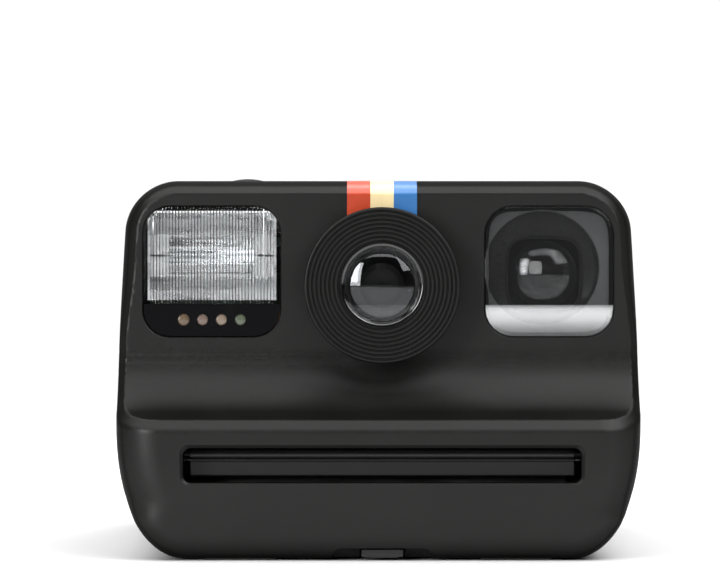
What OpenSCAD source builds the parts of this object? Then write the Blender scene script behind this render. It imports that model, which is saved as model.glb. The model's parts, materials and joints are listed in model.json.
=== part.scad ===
// Palm-size instant film camera, built as separate pieces in one frame.
// X runs to the viewfinder side, Y from the front to the back, Z up.
// The origin is under the middle of the body, on the surface it stands on.

/* [Body] */
// Width of the body
body_w = 84; // [83:0.5:86]
// Depth of the body, front lip to back
body_d = 105; // [104:0.5:107]
// Height of the body without the shutter button
body_h = 60.7; // [60:0.1:62]
// Thickness of the outer shells
wall = 1.8; // [1.4:0.1:2]
// How far the upper front face stands behind the lip
face_setback = 10.5; // [9.5:0.5:11]
// Height of the lip's upper edge
lip_h = 21; // [20:0.5:22]
// Fall of the rear slope, in degrees
slope_angle = 40; // [38:1:42]

/* [Lens] */
// Sideways offset of the lens, slot and stripe
lens_x = 0.6; // [0:0.1:1]
// Height of the lens axis
lens_z = 43.8; // [43:0.1:44.5]
// Outer diameter of the grooved ring
ring_d = 25; // [24:0.5:26]
// How far the ring stands out of the face
ring_out = 5; // [4:0.5:6]
// Clear diameter of the front glass
glass_d = 13; // [12:0.5:14]
// Number of grooves in the ring's face
groove_count = 8; // [4:1:8]
// Diameter of the small aperture
small_aperture_d = 1.1; // [0.8:0.1:1.6]

/* [Front windows] */
// Width of the flash window
flash_w = 21.9; // [21:0.1:22]
// Width of the viewfinder window
finder_w = 20.5; // [20:0.1:21]
// Height of both window openings
window_h = 20.8; // [20:0.1:21]
// Height of the dark sensor strip under the flash
sensor_h = 5.2; // [5:0.1:6]

/* [Exit slot and film path] */
// Width of the picture exit slot
slot_w = 64.4; // [64:0.1:65]
// Height of the picture exit slot
slot_h = 5.6; // [5.2:0.1:5.8]
// Radius of the pressure rollers
roller_r = 2.7; // [2.6:0.05:2.72]
// Height of the film plane
film_z = 14.1; // [14:0.1:14.2]

/* [Film door] */
// Thickness of the door leaf
door_t = 1.7; // [1.5:0.1:1.8]
// Radius of the door hinge knuckle
knuckle_r = 2.4; // [2.2:0.1:2.4]

/* [Gears] */
// Gear module
gear_m = 0.5; // [0.5:0.01:0.5]
// Teeth on each roller gear
roller_teeth = 11; // [11:1:11]
// Teeth on the large side of the reduction gear
reduction_teeth = 24; // [24:1:24]
// Teeth on the small side of the reduction gear
transfer_teeth = 10; // [10:1:10]
// Teeth on the motor pinion
pinion_teeth = 8; // [8:1:8]

/* [Base pads] */
// Thickness of the pads that the camera stands on
pad_h = 0.3; // [0.2:0.05:0.3]
// Length of each pad
pad_w = 12; // [8:1:14]

/* [Controls] */
// Diameter of the shutter button
shutter_d = 9; // [8:0.5:10]
// Diameter of the two small buttons
small_button_d = 6; // [5:0.5:6.5]

/* [Hidden] */
$fn = 64;

front_y = -body_d / 2;
back_y = body_d / 2;
face_y = front_y + face_setback;
seam_y = face_y + 4;
half_w = body_w / 2;
slot_z = 15.2;
slot_back = front_y + 4.4;
// Concave ramp under the lens
ramp_r = 11.8;
ramp_z = 34;
ramp_y = face_y - ramp_r;
// Rear slope: a rounded edge at its top and at its foot
crest_r = 10;
foot_r = 8;
foot_y = back_y - foot_r;
foot_z = 13.8;
slope_foot = [foot_y + foot_r * sin(slope_angle), foot_z + foot_r * cos(slope_angle)];
crest_z = body_h - crest_r;
slope_rise = crest_z + crest_r * cos(slope_angle) - slope_foot[1];
crest_y = slope_foot[0] - slope_rise / tan(slope_angle) - crest_r * sin(slope_angle);
// Front windows
window_top = 56.4;
window_z = window_top - window_h / 2;
flash_x = -26.85;
finder_x = 27.55;
sensor_top = window_top - window_h + sensor_h;
// Film chamber
chamber_x = 31;
chamber_front = face_y + 5;
chamber_back = 38;
chamber_wall = 1.3;
frame_x = chamber_x + 1.5;
frame_bottom = 2.8;
frame_top = 15.2;
// Door hinge
hinge_y = 42;
door_z = 0.3;
// Base pads: a pair at the front, a pair at the back
pad_d = 2;
pad_x = 22;
pad_front = front_y + 5.1;
pad_back = back_y - 6.3;
hinge_z = door_z + knuckle_r;
pin_r = 0.8;
door_x = 33;
door_front = front_y + 6.5;
door_gap = 0.3;
opening_back = hinge_y + knuckle_r + 0.4;
// Rollers and gears; the gears' axes lie on two 45 degree lines
roller_y = face_y + 0.5;
roller_pitch = gear_m * roller_teeth;
upper_z = film_z + roller_pitch / 2;
lower_z = film_z - roller_pitch / 2;
shaft_r = 1.2;
reach_1 = gear_m * (roller_teeth + transfer_teeth) / 2;
reach_2 = gear_m * (reduction_teeth + pinion_teeth) / 2;
reduction_y = roller_y + reach_1 * cos(45);
reduction_z = upper_z + reach_1 * sin(45);
motor_y = reduction_y + reach_2 * cos(45);
motor_z = reduction_z + reach_2 * sin(45);
plate_x = frame_x + 0.5;
plate_t = 1.2;
motor_r = 5;
motor_shaft_r = 0.75;
// Lens and shutter stations along Y, front to back
ring_front = face_y - ring_out;
stop_y = face_y + 11;
// Mirror and light chamber
mirror_top = [-18.5, 54];
mirror_foot = [27, 19];
cone_front = -20;
// Controls on the top face
shutter_pos = [-21.5, -24];
power_pos = [-15.5, -10];
flash_pos = [-27.5, -10];
board_z = 51.6;
switch_h = 1.1;
// Strap pockets on both sides
strap_y = 8;
strap_z = 40;
// Exit flap
flap_y = front_y + 5.5;
flap_z = 16.8;
flap_w = 61.2;
flap_r = 0.9;
socket_y = 20;
socket_z = 20;

function arc(cx, cz, r, a0, a1, n) =
  [for (i = [0 : n]) [cx + r * cos(a0 + (a1 - a0) * i / n), cz + r * sin(a0 + (a1 - a0) * i / n)]];

// Side profile of the body as Y and Z
side_points = concat(
  arc(front_y + 4, 4, 4, 270, 180, 5),
  [[front_y, lip_h], [front_y + 1.2, lip_h + 1.5]],
  arc(ramp_y, ramp_z, ramp_r, -72, 0, 9),
  [[face_y, body_h - 2.2], [face_y + 1.1, body_h - 0.95], [face_y + 2.2, body_h - 0.3]],
  [[face_y + 3.8, body_h]],
  arc(crest_y, crest_z, crest_r, 90, 90 - slope_angle, 6),
  arc(foot_y, foot_z, foot_r, 90 - slope_angle, 0, 6),
  arc(back_y - 5, 5, 5, 0, -90, 6)
);

// Front outline: corners like an ellipse below, slightly bowed sides, round corners above
low_x = 12;
low_z = 22;
function low_corner(a) = [
  half_w - low_x + low_x * pow(cos(a), 0.89),
  low_z - low_z * pow(sin(a), 0.89)
];
right_side = concat(
  [for (i = [0 : 9]) low_corner(90 - 10 * i)],
  [[half_w - 0.1, 30], [half_w - 0.4, 42]],
  arc(half_w - 9, body_h - 8, 8, 0, 90, 8)
);
last = len(right_side) - 1;
front_points = concat(right_side, [for (i = [0 : last]) [-right_side[last - i][0], right_side[last - i][1]]]);

module block(x0, x1, y0, y1, z0, z1) {
  translate([x0, y0, z0]) cube([x1 - x0, y1 - y0, z1 - z0]);
}

module rod_x(y, z, x0, x1, r) {
  translate([x0, y, z]) rotate([0, 90, 0]) cylinder(h = x1 - x0, r = r);
}

module rod_y(x, z, y0, y1, r) {
  translate([x, y0, z]) rotate([-90, 0, 0]) cylinder(h = y1 - y0, r = r);
}

module rod_z(x, y, z0, z1, r) {
  translate([x, y, z0]) cylinder(h = z1 - z0, r = r);
}

// A tube along Y
module tube_y(x, z, y0, y1, r_out, r_in) {
  difference() {
    rod_y(x, z, y0, y1, r_out);
    rod_y(x, z, y0 - 1, y1 + 1, r_in);
  }
}

// A flat shape drawn as X and Z, from y0 back to y1
module plate_y(y0, y1) {
  translate([0, y1, 0]) rotate([90, 0, 0]) linear_extrude(y1 - y0) children();
}

// A flat shape drawn as Y and Z, from x0 to x1
module plate_x(x0, x1) {
  translate([x0, 0, 0]) rotate([90, 0, 90]) linear_extrude(x1 - x0) children();
}

// Rectangle centred on the origin with a radius for its upper and its lower corners
module round_rect(w, h, r_up, r_low) {
  polygon(concat(
    arc(w / 2 - r_up, h / 2 - r_up, r_up, 0, 90, 6),
    arc(r_up - w / 2, h / 2 - r_up, r_up, 90, 180, 6),
    arc(r_low - w / 2, r_low - h / 2, r_low, 180, 270, 6),
    arc(w / 2 - r_low, r_low - h / 2, r_low, 270, 360, 6)
  ));
}

module side_profile(inset) {
  if (inset == 0) {
    polygon(side_points);
  } else {
    offset(delta = -inset) polygon(side_points);
  }
}

module front_outline(inset) {
  if (inset == 0) {
    polygon(front_points);
  } else {
    offset(delta = -inset) polygon(front_points);
  }
}

module plan_outline(inset) {
  round_rect(body_w + 4 - 2 * inset, body_d - 2 * inset, 10, 9);
}

module outer_form() {
  intersection() {
    plate_x(-50, 50) side_profile(0);
    union() {
      intersection() {
        plate_y(front_y - 1, back_y + 1) front_outline(0);
        block(-50, 50, front_y - 1, back_y + 1, -1, ramp_z - 1);
      }
      intersection() {
        hull() {
          plate_y(face_y, face_y + 0.02) front_outline(2.2);
          plate_y(face_y + 1.1, face_y + 1.12) front_outline(0.95);
          plate_y(face_y + 2.2, face_y + 2.22) front_outline(0.3);
          plate_y(face_y + 3.8, back_y + 1) front_outline(0);
        }
        block(-50, 50, front_y, back_y + 1, ramp_z - 1.5, body_h + 1);
      }
    }
    translate([0, 0, pad_h]) linear_extrude(body_h + 1) plan_outline(0);
  }
}

module inner_form() {
  intersection() {
    plate_x(-50, 50) side_profile(wall);
    plate_y(front_y, back_y) front_outline(wall);
    linear_extrude(body_h) plan_outline(wall);
  }
}

// Opening for the film door, shared by both shells
module door_opening() {
  block(-door_x - door_gap, door_x + door_gap, door_front - door_gap, opening_back, -1, 6);
}

// Strip that follows the middle of the front and top faces
module stripe_skin(x0, x1, depth, over) {
  intersection() {
    plate_x(x0, x1) difference() {
      offset(delta = over) polygon(side_points);
      offset(delta = -depth) polygon(side_points);
    }
    block(x0 - 1, x1 + 1, face_y - 1, crest_y - 0.5, lens_z + ring_d / 2 - 1.2, body_h + 1);
  }
}

stripe_w = 11.3;
module stripe_recess() {
  stripe_skin(lens_x - stripe_w / 2 - 0.05, lens_x + stripe_w / 2 + 0.05, 0.5, 1);
}

// Front cover with its windows, lens hole, exit slot and latch notch
module front_cover() {
  color("#2c2c2b") difference() {
    union() {
      intersection() {
        difference() {
          outer_form();
          inner_form();
        }
        block(-50, 50, front_y - 1, seam_y - 0.1, -1, body_h + 1);
      }
      plate_y(front_y + 1, slot_back) translate([lens_x, slot_z])
        round_rect(slot_w + 2.4, slot_h + 2.4, 1.3, 1.3);
    }
    rod_y(lens_x, lens_z, face_y - 1, face_y + 3, 10.2);
    rod_y(lens_x, lens_z, front_y, face_y, ring_d / 2 + 0.15);
    plate_y(face_y - 1, face_y + 3) translate([flash_x, window_z])
      round_rect(flash_w + 0.2, window_h + 0.2, 4.3, 4.3);
    plate_y(face_y - 1, face_y + 3) translate([finder_x, window_z])
      round_rect(finder_w + 0.2, window_h + 0.2, 4.5, 4.5);
    plate_y(front_y - 1, slot_back + 1) translate([lens_x, slot_z])
      round_rect(slot_w, slot_h, 1.3, 1.3);
    block(lens_x - 8, lens_x + 8, front_y - 1, door_front, -1, 2);
    door_opening();
    stripe_recess();
  }
}

// Rear shell with the strap pockets, eyepiece hump and control holes
module body_shell() {
  color("#2a2a29") difference() {
    union() {
      difference() {
        union() {
          intersection() {
            difference() {
              outer_form();
              inner_form();
            }
            block(-50, 50, seam_y, back_y + 1, -1, body_h + 1);
          }
          difference() {
            hump(0);
            inner_form();
          }
        }
        hump(1.6);
      }
      intersection() {
        inner_form();
        union() {
          strap_cup(1);
          strap_cup(-1);
        }
      }
      screw_bosses();
      hinge_lugs();
    }
    strap_pocket(1);
    strap_pocket(-1);
    block(eye_x - 6.8, eye_x + 6.8, 12, 40, eye_z - 4.8, eye_z + 4.8);
    rod_z(shutter_pos[0], shutter_pos[1], body_h - 3, body_h + 1, shutter_d / 2 + 0.35);
    rod_z(power_pos[0], power_pos[1], body_h - 3, body_h + 1, small_button_d / 2 + 0.35);
    rod_z(flash_pos[0], flash_pos[1], body_h - 3, body_h + 1, small_button_d / 2 + 0.35);
    on_slope(counter_s) block(counter_x - 5.1, counter_x + 5.1, -3.6, 3.6, -4, 1);
    block(-half_w - 1, -half_w + 5, socket_y - 4.4, socket_y + 4.4, socket_z - 1.9, socket_z + 1.9);
    for (p = screw_spots) {
      rod_z(p[0], p[1], -1, screw_seat, 1.8);
      rod_z(p[0], p[1], -1, screw_seat + 6.5, 0.85);
    }
    rod_x(hinge_y, hinge_z, -lug_x - 3, lug_x + 3, pin_r);
    door_opening_rear();
    stripe_recess();
  }
}

// The door opening as the rear shell has it, clear of the hinge lugs
module door_opening_rear() {
  difference() {
    door_opening();
    hinge_lugs();
  }
}

// Eyepiece hump on the rear slope
eye_x = 27;
eye_z = 46.2;
hump_back = 28;
module hump(inset) {
  plate_x(eye_x - 9.5 + inset, eye_x + 9.5 - inset) offset(delta = -inset) polygon(concat(
    [[2, 34], [hump_back - 3, 34]],
    [[hump_back, 38]],
    arc(hump_back - 4, 53.5, 4, 0, 70, 5),
    [[2, body_h - 1.2]]
  ));
}

// Points on the rear slope are measured down it from the crest
module on_slope(s) {
  translate([
    0,
    crest_y + crest_r * sin(slope_angle) + s * cos(slope_angle),
    crest_z + crest_r * cos(slope_angle) - s * sin(slope_angle)
  ]) rotate([-slope_angle, 0, 0]) children();
}

counter_x = -22;
counter_s = 14;

module strap_cup(side) {
  translate([side * (half_w - 3.2), strap_y, strap_z]) cube([7.4, 10.8, 12.8], center = true);
}

module strap_pocket(side) {
  translate([side * (half_w - 0.8), strap_y, strap_z]) cube([7.6, 8, 10], center = true);
}

// Steel bars that the wrist strap loops round
module strap_bars() {
  color("#b9bcc0") for (side = [-1, 1]) {
    rod_z(side * (half_w - 1.9), strap_y, strap_z - 5, strap_z + 5, 1);
  }
}

screw_x = 36.6;
screw_seat = 6.6;
screw_spots = [for (sx = [-1, 1], sy = [-33, 33]) [sx * screw_x, sy]];
module screw_bosses() {
  intersection() {
    for (p = screw_spots) {
      rod_z(p[0], p[1], 0, screw_seat + 7.5, 2.5);
    }
    plate_y(front_y, back_y) front_outline(0.4);
  }
}

module case_screws() {
  color("#8e9196") for (p = screw_spots) {
    difference() {
      union() {
        rod_z(p[0], p[1], screw_seat - 1.3, screw_seat, 1.6);
        rod_z(p[0], p[1], screw_seat, screw_seat + 6, 0.8);
      }
      translate([p[0], p[1], screw_seat - 1.4]) {
        translate([-1.1, -0.2, 0]) cube([2.2, 0.4, 0.8]);
        translate([-0.2, -1.1, 0]) cube([0.4, 2.2, 0.8]);
      }
    }
  }
}

// Lugs that hold the ends of the door pin
lug_x = 29;
module hinge_lugs() {
  for (side = [-1, 1]) {
    translate([side * (lug_x + 1.3), hinge_y, hinge_z]) difference() {
      union() {
        rotate([0, 90, 0]) cylinder(h = 2, r = 2.2, center = true);
        translate([-1, 0, -2.2]) cube([2, opening_back - hinge_y + 1.2, 6.4]);
      }
    }
  }
}

// Bottom film door, which swings down on the pin behind it
module film_door() {
  color("#292928") difference() {
    union() {
      intersection() {
        difference() {
          plate_y(front_y, back_y) front_outline(door_z);
          translate([0, 0, door_t]) plate_y(front_y - 1, back_y + 1) front_outline(door_z);
        }
        union() {
          block(-door_x, door_x, door_front, hinge_y - knuckle_r - 0.6, -1, 6);
          block(-lug_x, lug_x, hinge_y - knuckle_r - 1, hinge_y, -1, 6);
        }
      }
      rod_x(hinge_y, hinge_z, -lug_x, lug_x, knuckle_r);
      block(lens_x - 7, lens_x + 7, door_front, door_front + 5.6, door_z + door_t - 0.2, 3.6);
    }
    rod_x(hinge_y, hinge_z, -lug_x - 1, lug_x + 1, pin_r + 0.05);
    block(lens_x - 3.65, lens_x + 3.65, door_front - 1, door_front + 3.5, 0, 2.2);
    block(lens_x - 2.5, lens_x + 2.5, door_front - 1, door_front + 7.5, 0.6, 2.2);
  }
}

module door_hinge_pin() {
  color("#a5a8ad") rod_x(hinge_y, hinge_z, -lug_x - 2.3, lug_x + 2.3, pin_r);
}

// Latch tab in the notch of the front edge; it slides back to free the door
module door_latch() {
  color("#3b3b3a") union() {
    block(lens_x - 3.3, lens_x + 3.3, door_front - 3.8, door_front - 0.5, 0.6, 1.7);
    block(lens_x - 2.2, lens_x + 2.2, door_front - 0.6, door_front + 4.6, 0.9, 1.9);
    for (i = [0 : 2]) {
      block(lens_x - 2.6, lens_x + 2.6, door_front - 3.5 + i, door_front - 3.1 + i, 0.4, 0.7);
    }
  }
}

// Two leaf springs on the door that lift the film pack against its stop
module pack_springs() {
  color("#c3c6ca") for (side = [-1, 1]) {
    plate_x(side * 13 - 3, side * 13 + 3) polygon([
      [-14, door_z + door_t], [-8, door_z + door_t], [4, 2.35], [18, 2.35], [18, 2.55],
      [3.5, 2.55], [-8.5, door_z + door_t + 0.2], [-14, door_z + door_t + 0.2]
    ]);
  }
}

// Three bands, side by side, from the lens ring over the top edge
module accent_stripe() {
  band = stripe_w / 3;
  for (i = [0 : 2]) {
    color(["#a8452f", "#e9dfc3", "#3f6a8c"][i])
      stripe_skin(lens_x - stripe_w / 2 + i * band + 0.02, lens_x - stripe_w / 2 + (i + 1) * band - 0.02, 0.45, 0);
  }
}

// Ring with concentric grooves cut in its face
module lens_ring() {
  r_out = ring_d / 2;
  pitch = (r_out - glass_d / 2 - 0.9) / (groove_count + 0.2);
  color("#333332") translate([lens_x, 0, lens_z]) rotate([-90, 0, 0]) difference() {
    union() {
      translate([0, 0, ring_front + 0.5]) cylinder(h = ring_out - 0.5, r = r_out);
      translate([0, 0, ring_front]) cylinder(h = 0.51, r1 = r_out - 0.5, r2 = r_out);
      translate([0, 0, face_y - 0.01]) cylinder(h = 2.8, r = 10);
    }
    translate([0, 0, ring_front - 1]) cylinder(h = 20, r = glass_d / 2 + 0.75);
    for (i = [0 : groove_count - 1]) {
      translate([0, 0, ring_front - 0.01]) rotate_extrude()
        polygon([
          [r_out - 1 - i * pitch - 0.42, -0.1], [r_out - 1 - i * pitch - 0.32, 0.45],
          [r_out - 1 - i * pitch - 0.12, 0.45], [r_out - 1 - i * pitch - 0.02, -0.1]
        ]);
    }
  }
}

// Glossy retaining rim round the front glass
module lens_rim() {
  color("#1b1b1c") tube_y(lens_x, lens_z, ring_front + 0.4, ring_front + 3.6, glass_d / 2 + 0.7, glass_d / 2 + 0.05);
}

module front_lens() {
  bulge = 34;
  color("#8fa3ad") intersection() {
    rod_y(lens_x, lens_z, ring_front + 0.5, ring_front + 3.2, glass_d / 2);
    translate([lens_x, ring_front + 0.9 + bulge, lens_z]) sphere(r = bulge, $fn = 120);
  }
}

// Barrel between the ring and the shutter, with a stepped dark bore
module lens_barrel() {
  color("#1e1e1e") translate([lens_x, 0, lens_z]) rotate([-90, 0, 0]) difference() {
    union() {
      translate([0, 0, ring_front + 3.7]) cylinder(h = stop_y - ring_front - 4.8, r = glass_d / 2 + 0.65);
      translate([0, 0, face_y + 3.2]) cylinder(h = stop_y - face_y - 3.2, r = 10.6);
    }
    translate([0, 0, ring_front + 3]) cylinder(h = 4, r = 5.9);
    translate([0, 0, ring_front + 6.8]) cylinder(h = stop_y - ring_front - 8.5, r1 = 5.4, r2 = 3.6);
    translate([0, 0, stop_y - 1.8]) cylinder(h = 2, r = 9.6);
  }
}

module rear_lens() {
  color("#8fa3ad") intersection() {
    rod_y(lens_x, lens_z, stop_y + 4.2, stop_y + 7, 4.6);
    translate([lens_x, stop_y + 6.6 - 22, lens_z]) sphere(r = 22, $fn = 120);
  }
}

// Plate that carries the blades, the lever and the rear lens cell
lever_pivot = [lens_x, lens_z + 7.4];
blade_pivots = [[lens_x - 7.4, lens_z], [lens_x + 7.4, lens_z]];
module shutter_plate() {
  color("#4a4a4c") union() {
    difference() {
      rod_y(lens_x, lens_z, stop_y, stop_y + 1.2, 10.6);
      rod_y(lens_x, lens_z, stop_y - 1, stop_y + 3, 2.1);
    }
    rod_y(lever_pivot[0], lever_pivot[1], stop_y - 1.5, stop_y + 0.1, 0.7);
    for (p = blade_pivots) {
      rod_y(p[0], p[1], stop_y + 1.1, stop_y + 3.6, 0.7);
    }
    difference() {
      rod_y(lens_x, lens_z, stop_y + 3.9, cone_front, 10.6);
      rod_y(lens_x, lens_z, stop_y + 4.2, cone_front + 1, 4.65);
      rod_y(lens_x, lens_z, stop_y, cone_front, 2.6);
    }
    difference() {
      rod_y(lens_x, lens_z, stop_y + 1.1, stop_y + 4, 10.6);
      rod_y(lens_x, lens_z, stop_y, stop_y + 5, 9.9);
    }
  }
}

// Lever with the small aperture; it swings aside for dim light
module aperture_lever() {
  color("#8b8b88") difference() {
    plate_y(stop_y - 1, stop_y - 0.5) {
      translate(lever_pivot) circle(r = 1.5);
      translate([lens_x, lens_z]) circle(r = 2.8);
      translate([lens_x - 0.8, lens_z]) square([1.6, 7.4]);
    }
    rod_y(lever_pivot[0], lever_pivot[1], stop_y - 2, stop_y, 0.75);
    rod_y(lens_x, lens_z, stop_y - 2, stop_y, small_aperture_d / 2);
  }
}

module shutter_blade(p, y) {
  color("#3a3a3c") difference() {
    plate_y(y, y + 0.4) {
      translate(p) circle(r = 1.6);
      translate([lens_x, lens_z]) circle(r = 3.4);
      translate([min(p[0], lens_x), lens_z - 0.9]) square([7.4, 1.8]);
    }
    rod_y(p[0], p[1], y - 1, y + 1, 0.75);
  }
}

module shutter_blade_a() {
  shutter_blade(blade_pivots[0], stop_y + 1.6);
}

module shutter_blade_b() {
  shutter_blade(blade_pivots[1], stop_y + 2.6);
}

module shutter_solenoid() {
  color("#b07a3a") union() {
    rod_y(lens_x - 15, lens_z - 6, stop_y - 4, stop_y + 5, 3);
    rod_y(lens_x - 15, lens_z - 6, stop_y - 5, stop_y + 6, 1);
    block(lens_x - 13, lens_x - 9.9, stop_y + 0.2, stop_y + 1.0, lens_z - 8, lens_z - 4);
  }
}

// Clear upper part of the flash opening, flush with the face
module flash_window() {
  color("#c8ccd0") intersection() {
    plate_y(face_y, face_y + 1.6) translate([flash_x, window_z])
      round_rect(flash_w, window_h, 4.2, 4.2);
    block(-50, 0, face_y - 1, face_y + 2, sensor_top + 0.03, 60);
  }
}

// Glossy strip under the flash with four round ports
port_x = [-31.4, -28.35, -25.3, -22.25];
port_z = 38.25;
port_r = [1.0, 0.92, 0.92, 0.92];
module sensor_panel() {
  color("#101012") difference() {
    intersection() {
      plate_y(face_y, face_y + 1.6) translate([flash_x, window_z])
        round_rect(flash_w, window_h, 4.2, 4.2);
      block(-50, 0, face_y - 1, face_y + 2, 30, sensor_top - 0.03);
    }
    for (i = [0 : 3]) {
      rod_y(port_x[i], port_z, face_y - 1, face_y + 3, port_r[i]);
    }
  }
}

module sensor_lenses() {
  for (i = [0 : 3]) {
    color(["#5b4f47", "#8a6f69", "#9a7f78", "#5c6254"][i])
      rod_y(port_x[i], port_z, face_y + 0.25, face_y + 2.4, port_r[i] - 0.02);
  }
}

// Polished trough behind the flash window
flash_z = 48.6;
module flash_reflector() {
  color("#d7d9dc") difference() {
    block(flash_x - 10.4, flash_x + 10.4, face_y + 1.8, face_y + 9.4, flash_z - 7.2, flash_z + 7.2);
    plate_x(flash_x - 9.9, flash_x + 9.9) polygon([
      [face_y + 1, flash_z - 6.8], [face_y + 5, flash_z - 5.4], [face_y + 8, flash_z - 2.6],
      [face_y + 8.8, flash_z], [face_y + 8, flash_z + 2.6], [face_y + 5, flash_z + 5.4],
      [face_y + 1, flash_z + 6.8]
    ]);
    rod_x(face_y + 6.4, flash_z, flash_x - 11, flash_x + 11, 1.25);
  }
}

module flash_tube() {
  color("#dfe6ea") union() {
    rod_x(face_y + 6.4, flash_z, flash_x - 9.4, flash_x + 9.4, 1.2);
    rod_x(face_y + 6.4, flash_z, flash_x - 11.2, flash_x + 11.2, 0.4);
  }
}

module flash_board() {
  color("#2f6b45") union() {
    block(flash_x - 10.4, flash_x + 6.4, face_y + 9.6, face_y + 11, 37, 56);
    block(flash_x - 6, flash_x + 2, face_y + 11, face_y + 15, 42, 50);
  }
}

module flash_capacitor() {
  color("#26364a") union() {
    rod_y(-30.2, 29.8, -23, 9, 5.8);
    rod_y(-31.6, 29.8, 8.9, 12, 0.4);
    rod_y(-28.8, 29.8, 8.9, 12, 0.4);
  }
}

// Half-mirrored window over the viewfinder
module finder_window() {
  color("#6d7a86") plate_y(face_y, face_y + 1.6) translate([finder_x, window_z])
    round_rect(finder_w, window_h, 4.4, 4.4);
}

finder_eye_x = 27;
finder_eye_z = 46.4;
module finder_objective() {
  color("#18181a") difference() {
    plate_y(face_y + 5, face_y + 8) translate([finder_eye_x, finder_eye_z])
      round_rect(11.9, 11.8, 2.4, 2.4);
    rod_y(finder_eye_x, finder_eye_z, face_y + 4, face_y + 9, 5.35);
  }
}

module finder_lens() {
  color("#9fb0ba") intersection() {
    rod_y(finder_eye_x, finder_eye_z, face_y + 5, face_y + 7.6, 5.3);
    translate([finder_eye_x, face_y + 4.9 + 9, finder_eye_z]) sphere(r = 9, $fn = 120);
  }
}

// Square tube from the front window to the eyepiece
module finder_tunnel() {
  color("#1c1c1d") difference() {
    union() {
      block(finder_eye_x - 8.8, finder_eye_x + 8.8, face_y + 2.2, face_y + 8, 38.4, 55.2);
      block(finder_eye_x - 7.4, finder_eye_x + 7.4, face_y + 7.9, 18, 40, 52.8);
    }
    block(finder_eye_x - 7.8, finder_eye_x + 7.8, face_y + 1, face_y + 4.99, 39.4, 54.2);
    plate_y(face_y + 4, face_y + 9) translate([finder_eye_x, finder_eye_z])
      round_rect(12, 11.9, 2.4, 2.4);
    block(finder_eye_x - 6.2, finder_eye_x + 6.2, face_y + 7.8, 17, 41.2, 51.6);
    block(finder_eye_x - 2.2, finder_eye_x + 2.2, 16, 20, finder_eye_z - 2.2, finder_eye_z + 2.2);
  }
}

module eyepiece_lens() {
  color("#9fb0ba") block(eye_x - 5.4, eye_x + 5.4, hump_back - 2.6, hump_back - 0.6, eye_z - 3.9, eye_z + 3.9);
}

module eyepiece_bezel() {
  color("#171718") difference() {
    block(eye_x - 6.7, eye_x + 6.7, hump_back - 3.8, hump_back - 0.1, eye_z - 4.7, eye_z + 4.7);
    block(eye_x - 5.45, eye_x + 5.45, hump_back - 2.65, hump_back + 1, eye_z - 3.95, eye_z + 3.95);
    block(eye_x - 4.4, eye_x + 4.4, hump_back - 5, hump_back, eye_z - 3, eye_z + 3);
  }
}

// Domed cap on a stem with a collar under the top face
module button(pos, d, top, dome) {
  color("#343433") union() {
    intersection() {
      rod_z(pos[0], pos[1], body_h - wall - 1.4, top, d / 2);
      translate([pos[0], pos[1], top - dome]) sphere(r = dome, $fn = 120);
    }
    rod_z(pos[0], pos[1], body_h - wall - 2.4, body_h - wall - 1.3, d / 2 + 1);
    rod_z(pos[0], pos[1], board_z + 3.2, body_h - wall - 2.3, 1);
  }
}

module shutter_button() {
  button(shutter_pos, shutter_d, body_h + 0.7, 10);
}

module power_button() {
  button(power_pos, small_button_d, body_h + 0.1, 14);
}

module flash_button() {
  button(flash_pos, small_button_d, body_h + 0.1, 14);
}

// Return spring round the shutter button's stem
wire_r = 0.22;
coil_r = 2.4;
coil_turns = 3;
coil_rings = 60;
coil_sides = 8;
spring_foot = board_z + switch_h + wire_r;
spring_top = body_h - wall - 2.4 - wire_r;
function coil_point(i, k) =
  let (a = 360 * coil_turns * i / coil_rings, b = 360 * k / coil_sides, r = coil_r + wire_r * cos(b))
  [r * cos(a), r * sin(a), spring_foot + (spring_top - spring_foot) * i / coil_rings + wire_r * sin(b)];
module shutter_button_spring() {
  color("#c3c6ca") translate([shutter_pos[0], shutter_pos[1], 0]) polyhedron(
    points = [for (i = [0 : coil_rings], k = [0 : coil_sides - 1]) coil_point(i, k)],
    faces = concat(
      [[for (k = [0 : coil_sides - 1]) k]],
      [for (i = [0 : coil_rings - 1], k = [0 : coil_sides - 1])
        [i * coil_sides + k, (i + 1) * coil_sides + k,
          (i + 1) * coil_sides + (k + 1) % coil_sides, i * coil_sides + (k + 1) % coil_sides]],
      [[for (k = [coil_sides - 1 : -1 : 0]) coil_rings * coil_sides + k]]
    )
  );
}

module button_switches() {
  color("#46484b") for (p = [shutter_pos, power_pos, flash_pos]) {
    translate([p[0] - 3.4, p[1] - 3.4, board_z]) cube([6.8, 6.8, switch_h]);
    rod_z(p[0], p[1], board_z + 1, board_z + 1.9, 1.2);
  }
}

module top_board() {
  color("#2f6b45") block(-35, -11.5, -30.5, -4, board_z - 1.2, board_z);
}

// Main board behind the mirror, parallel to the rear slope
module main_board() {
  color("#2f6b45") translate([-5, 25, 34.6]) rotate([-slope_angle, 0, 0]) union() {
    cube([36, 34, 1.2], center = true);
    translate([-5, 0, 1.3]) cube([9, 9, 1.4], center = true);
    translate([8, 6, 1.1]) cube([6, 5, 1], center = true);
    translate([10, -8, 1.3]) cube([4, 7, 1.4], center = true);
  }
}

module counter_display() {
  color("#5e6668") on_slope(counter_s) block(counter_x - 5.8, counter_x + 5.8, -4.4, 4.4, -3.6, -2);
}

module counter_window() {
  color("#222528") on_slope(counter_s) block(counter_x - 5, counter_x + 5, -3.5, 3.5, -1.6, -0.1);
}

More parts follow.
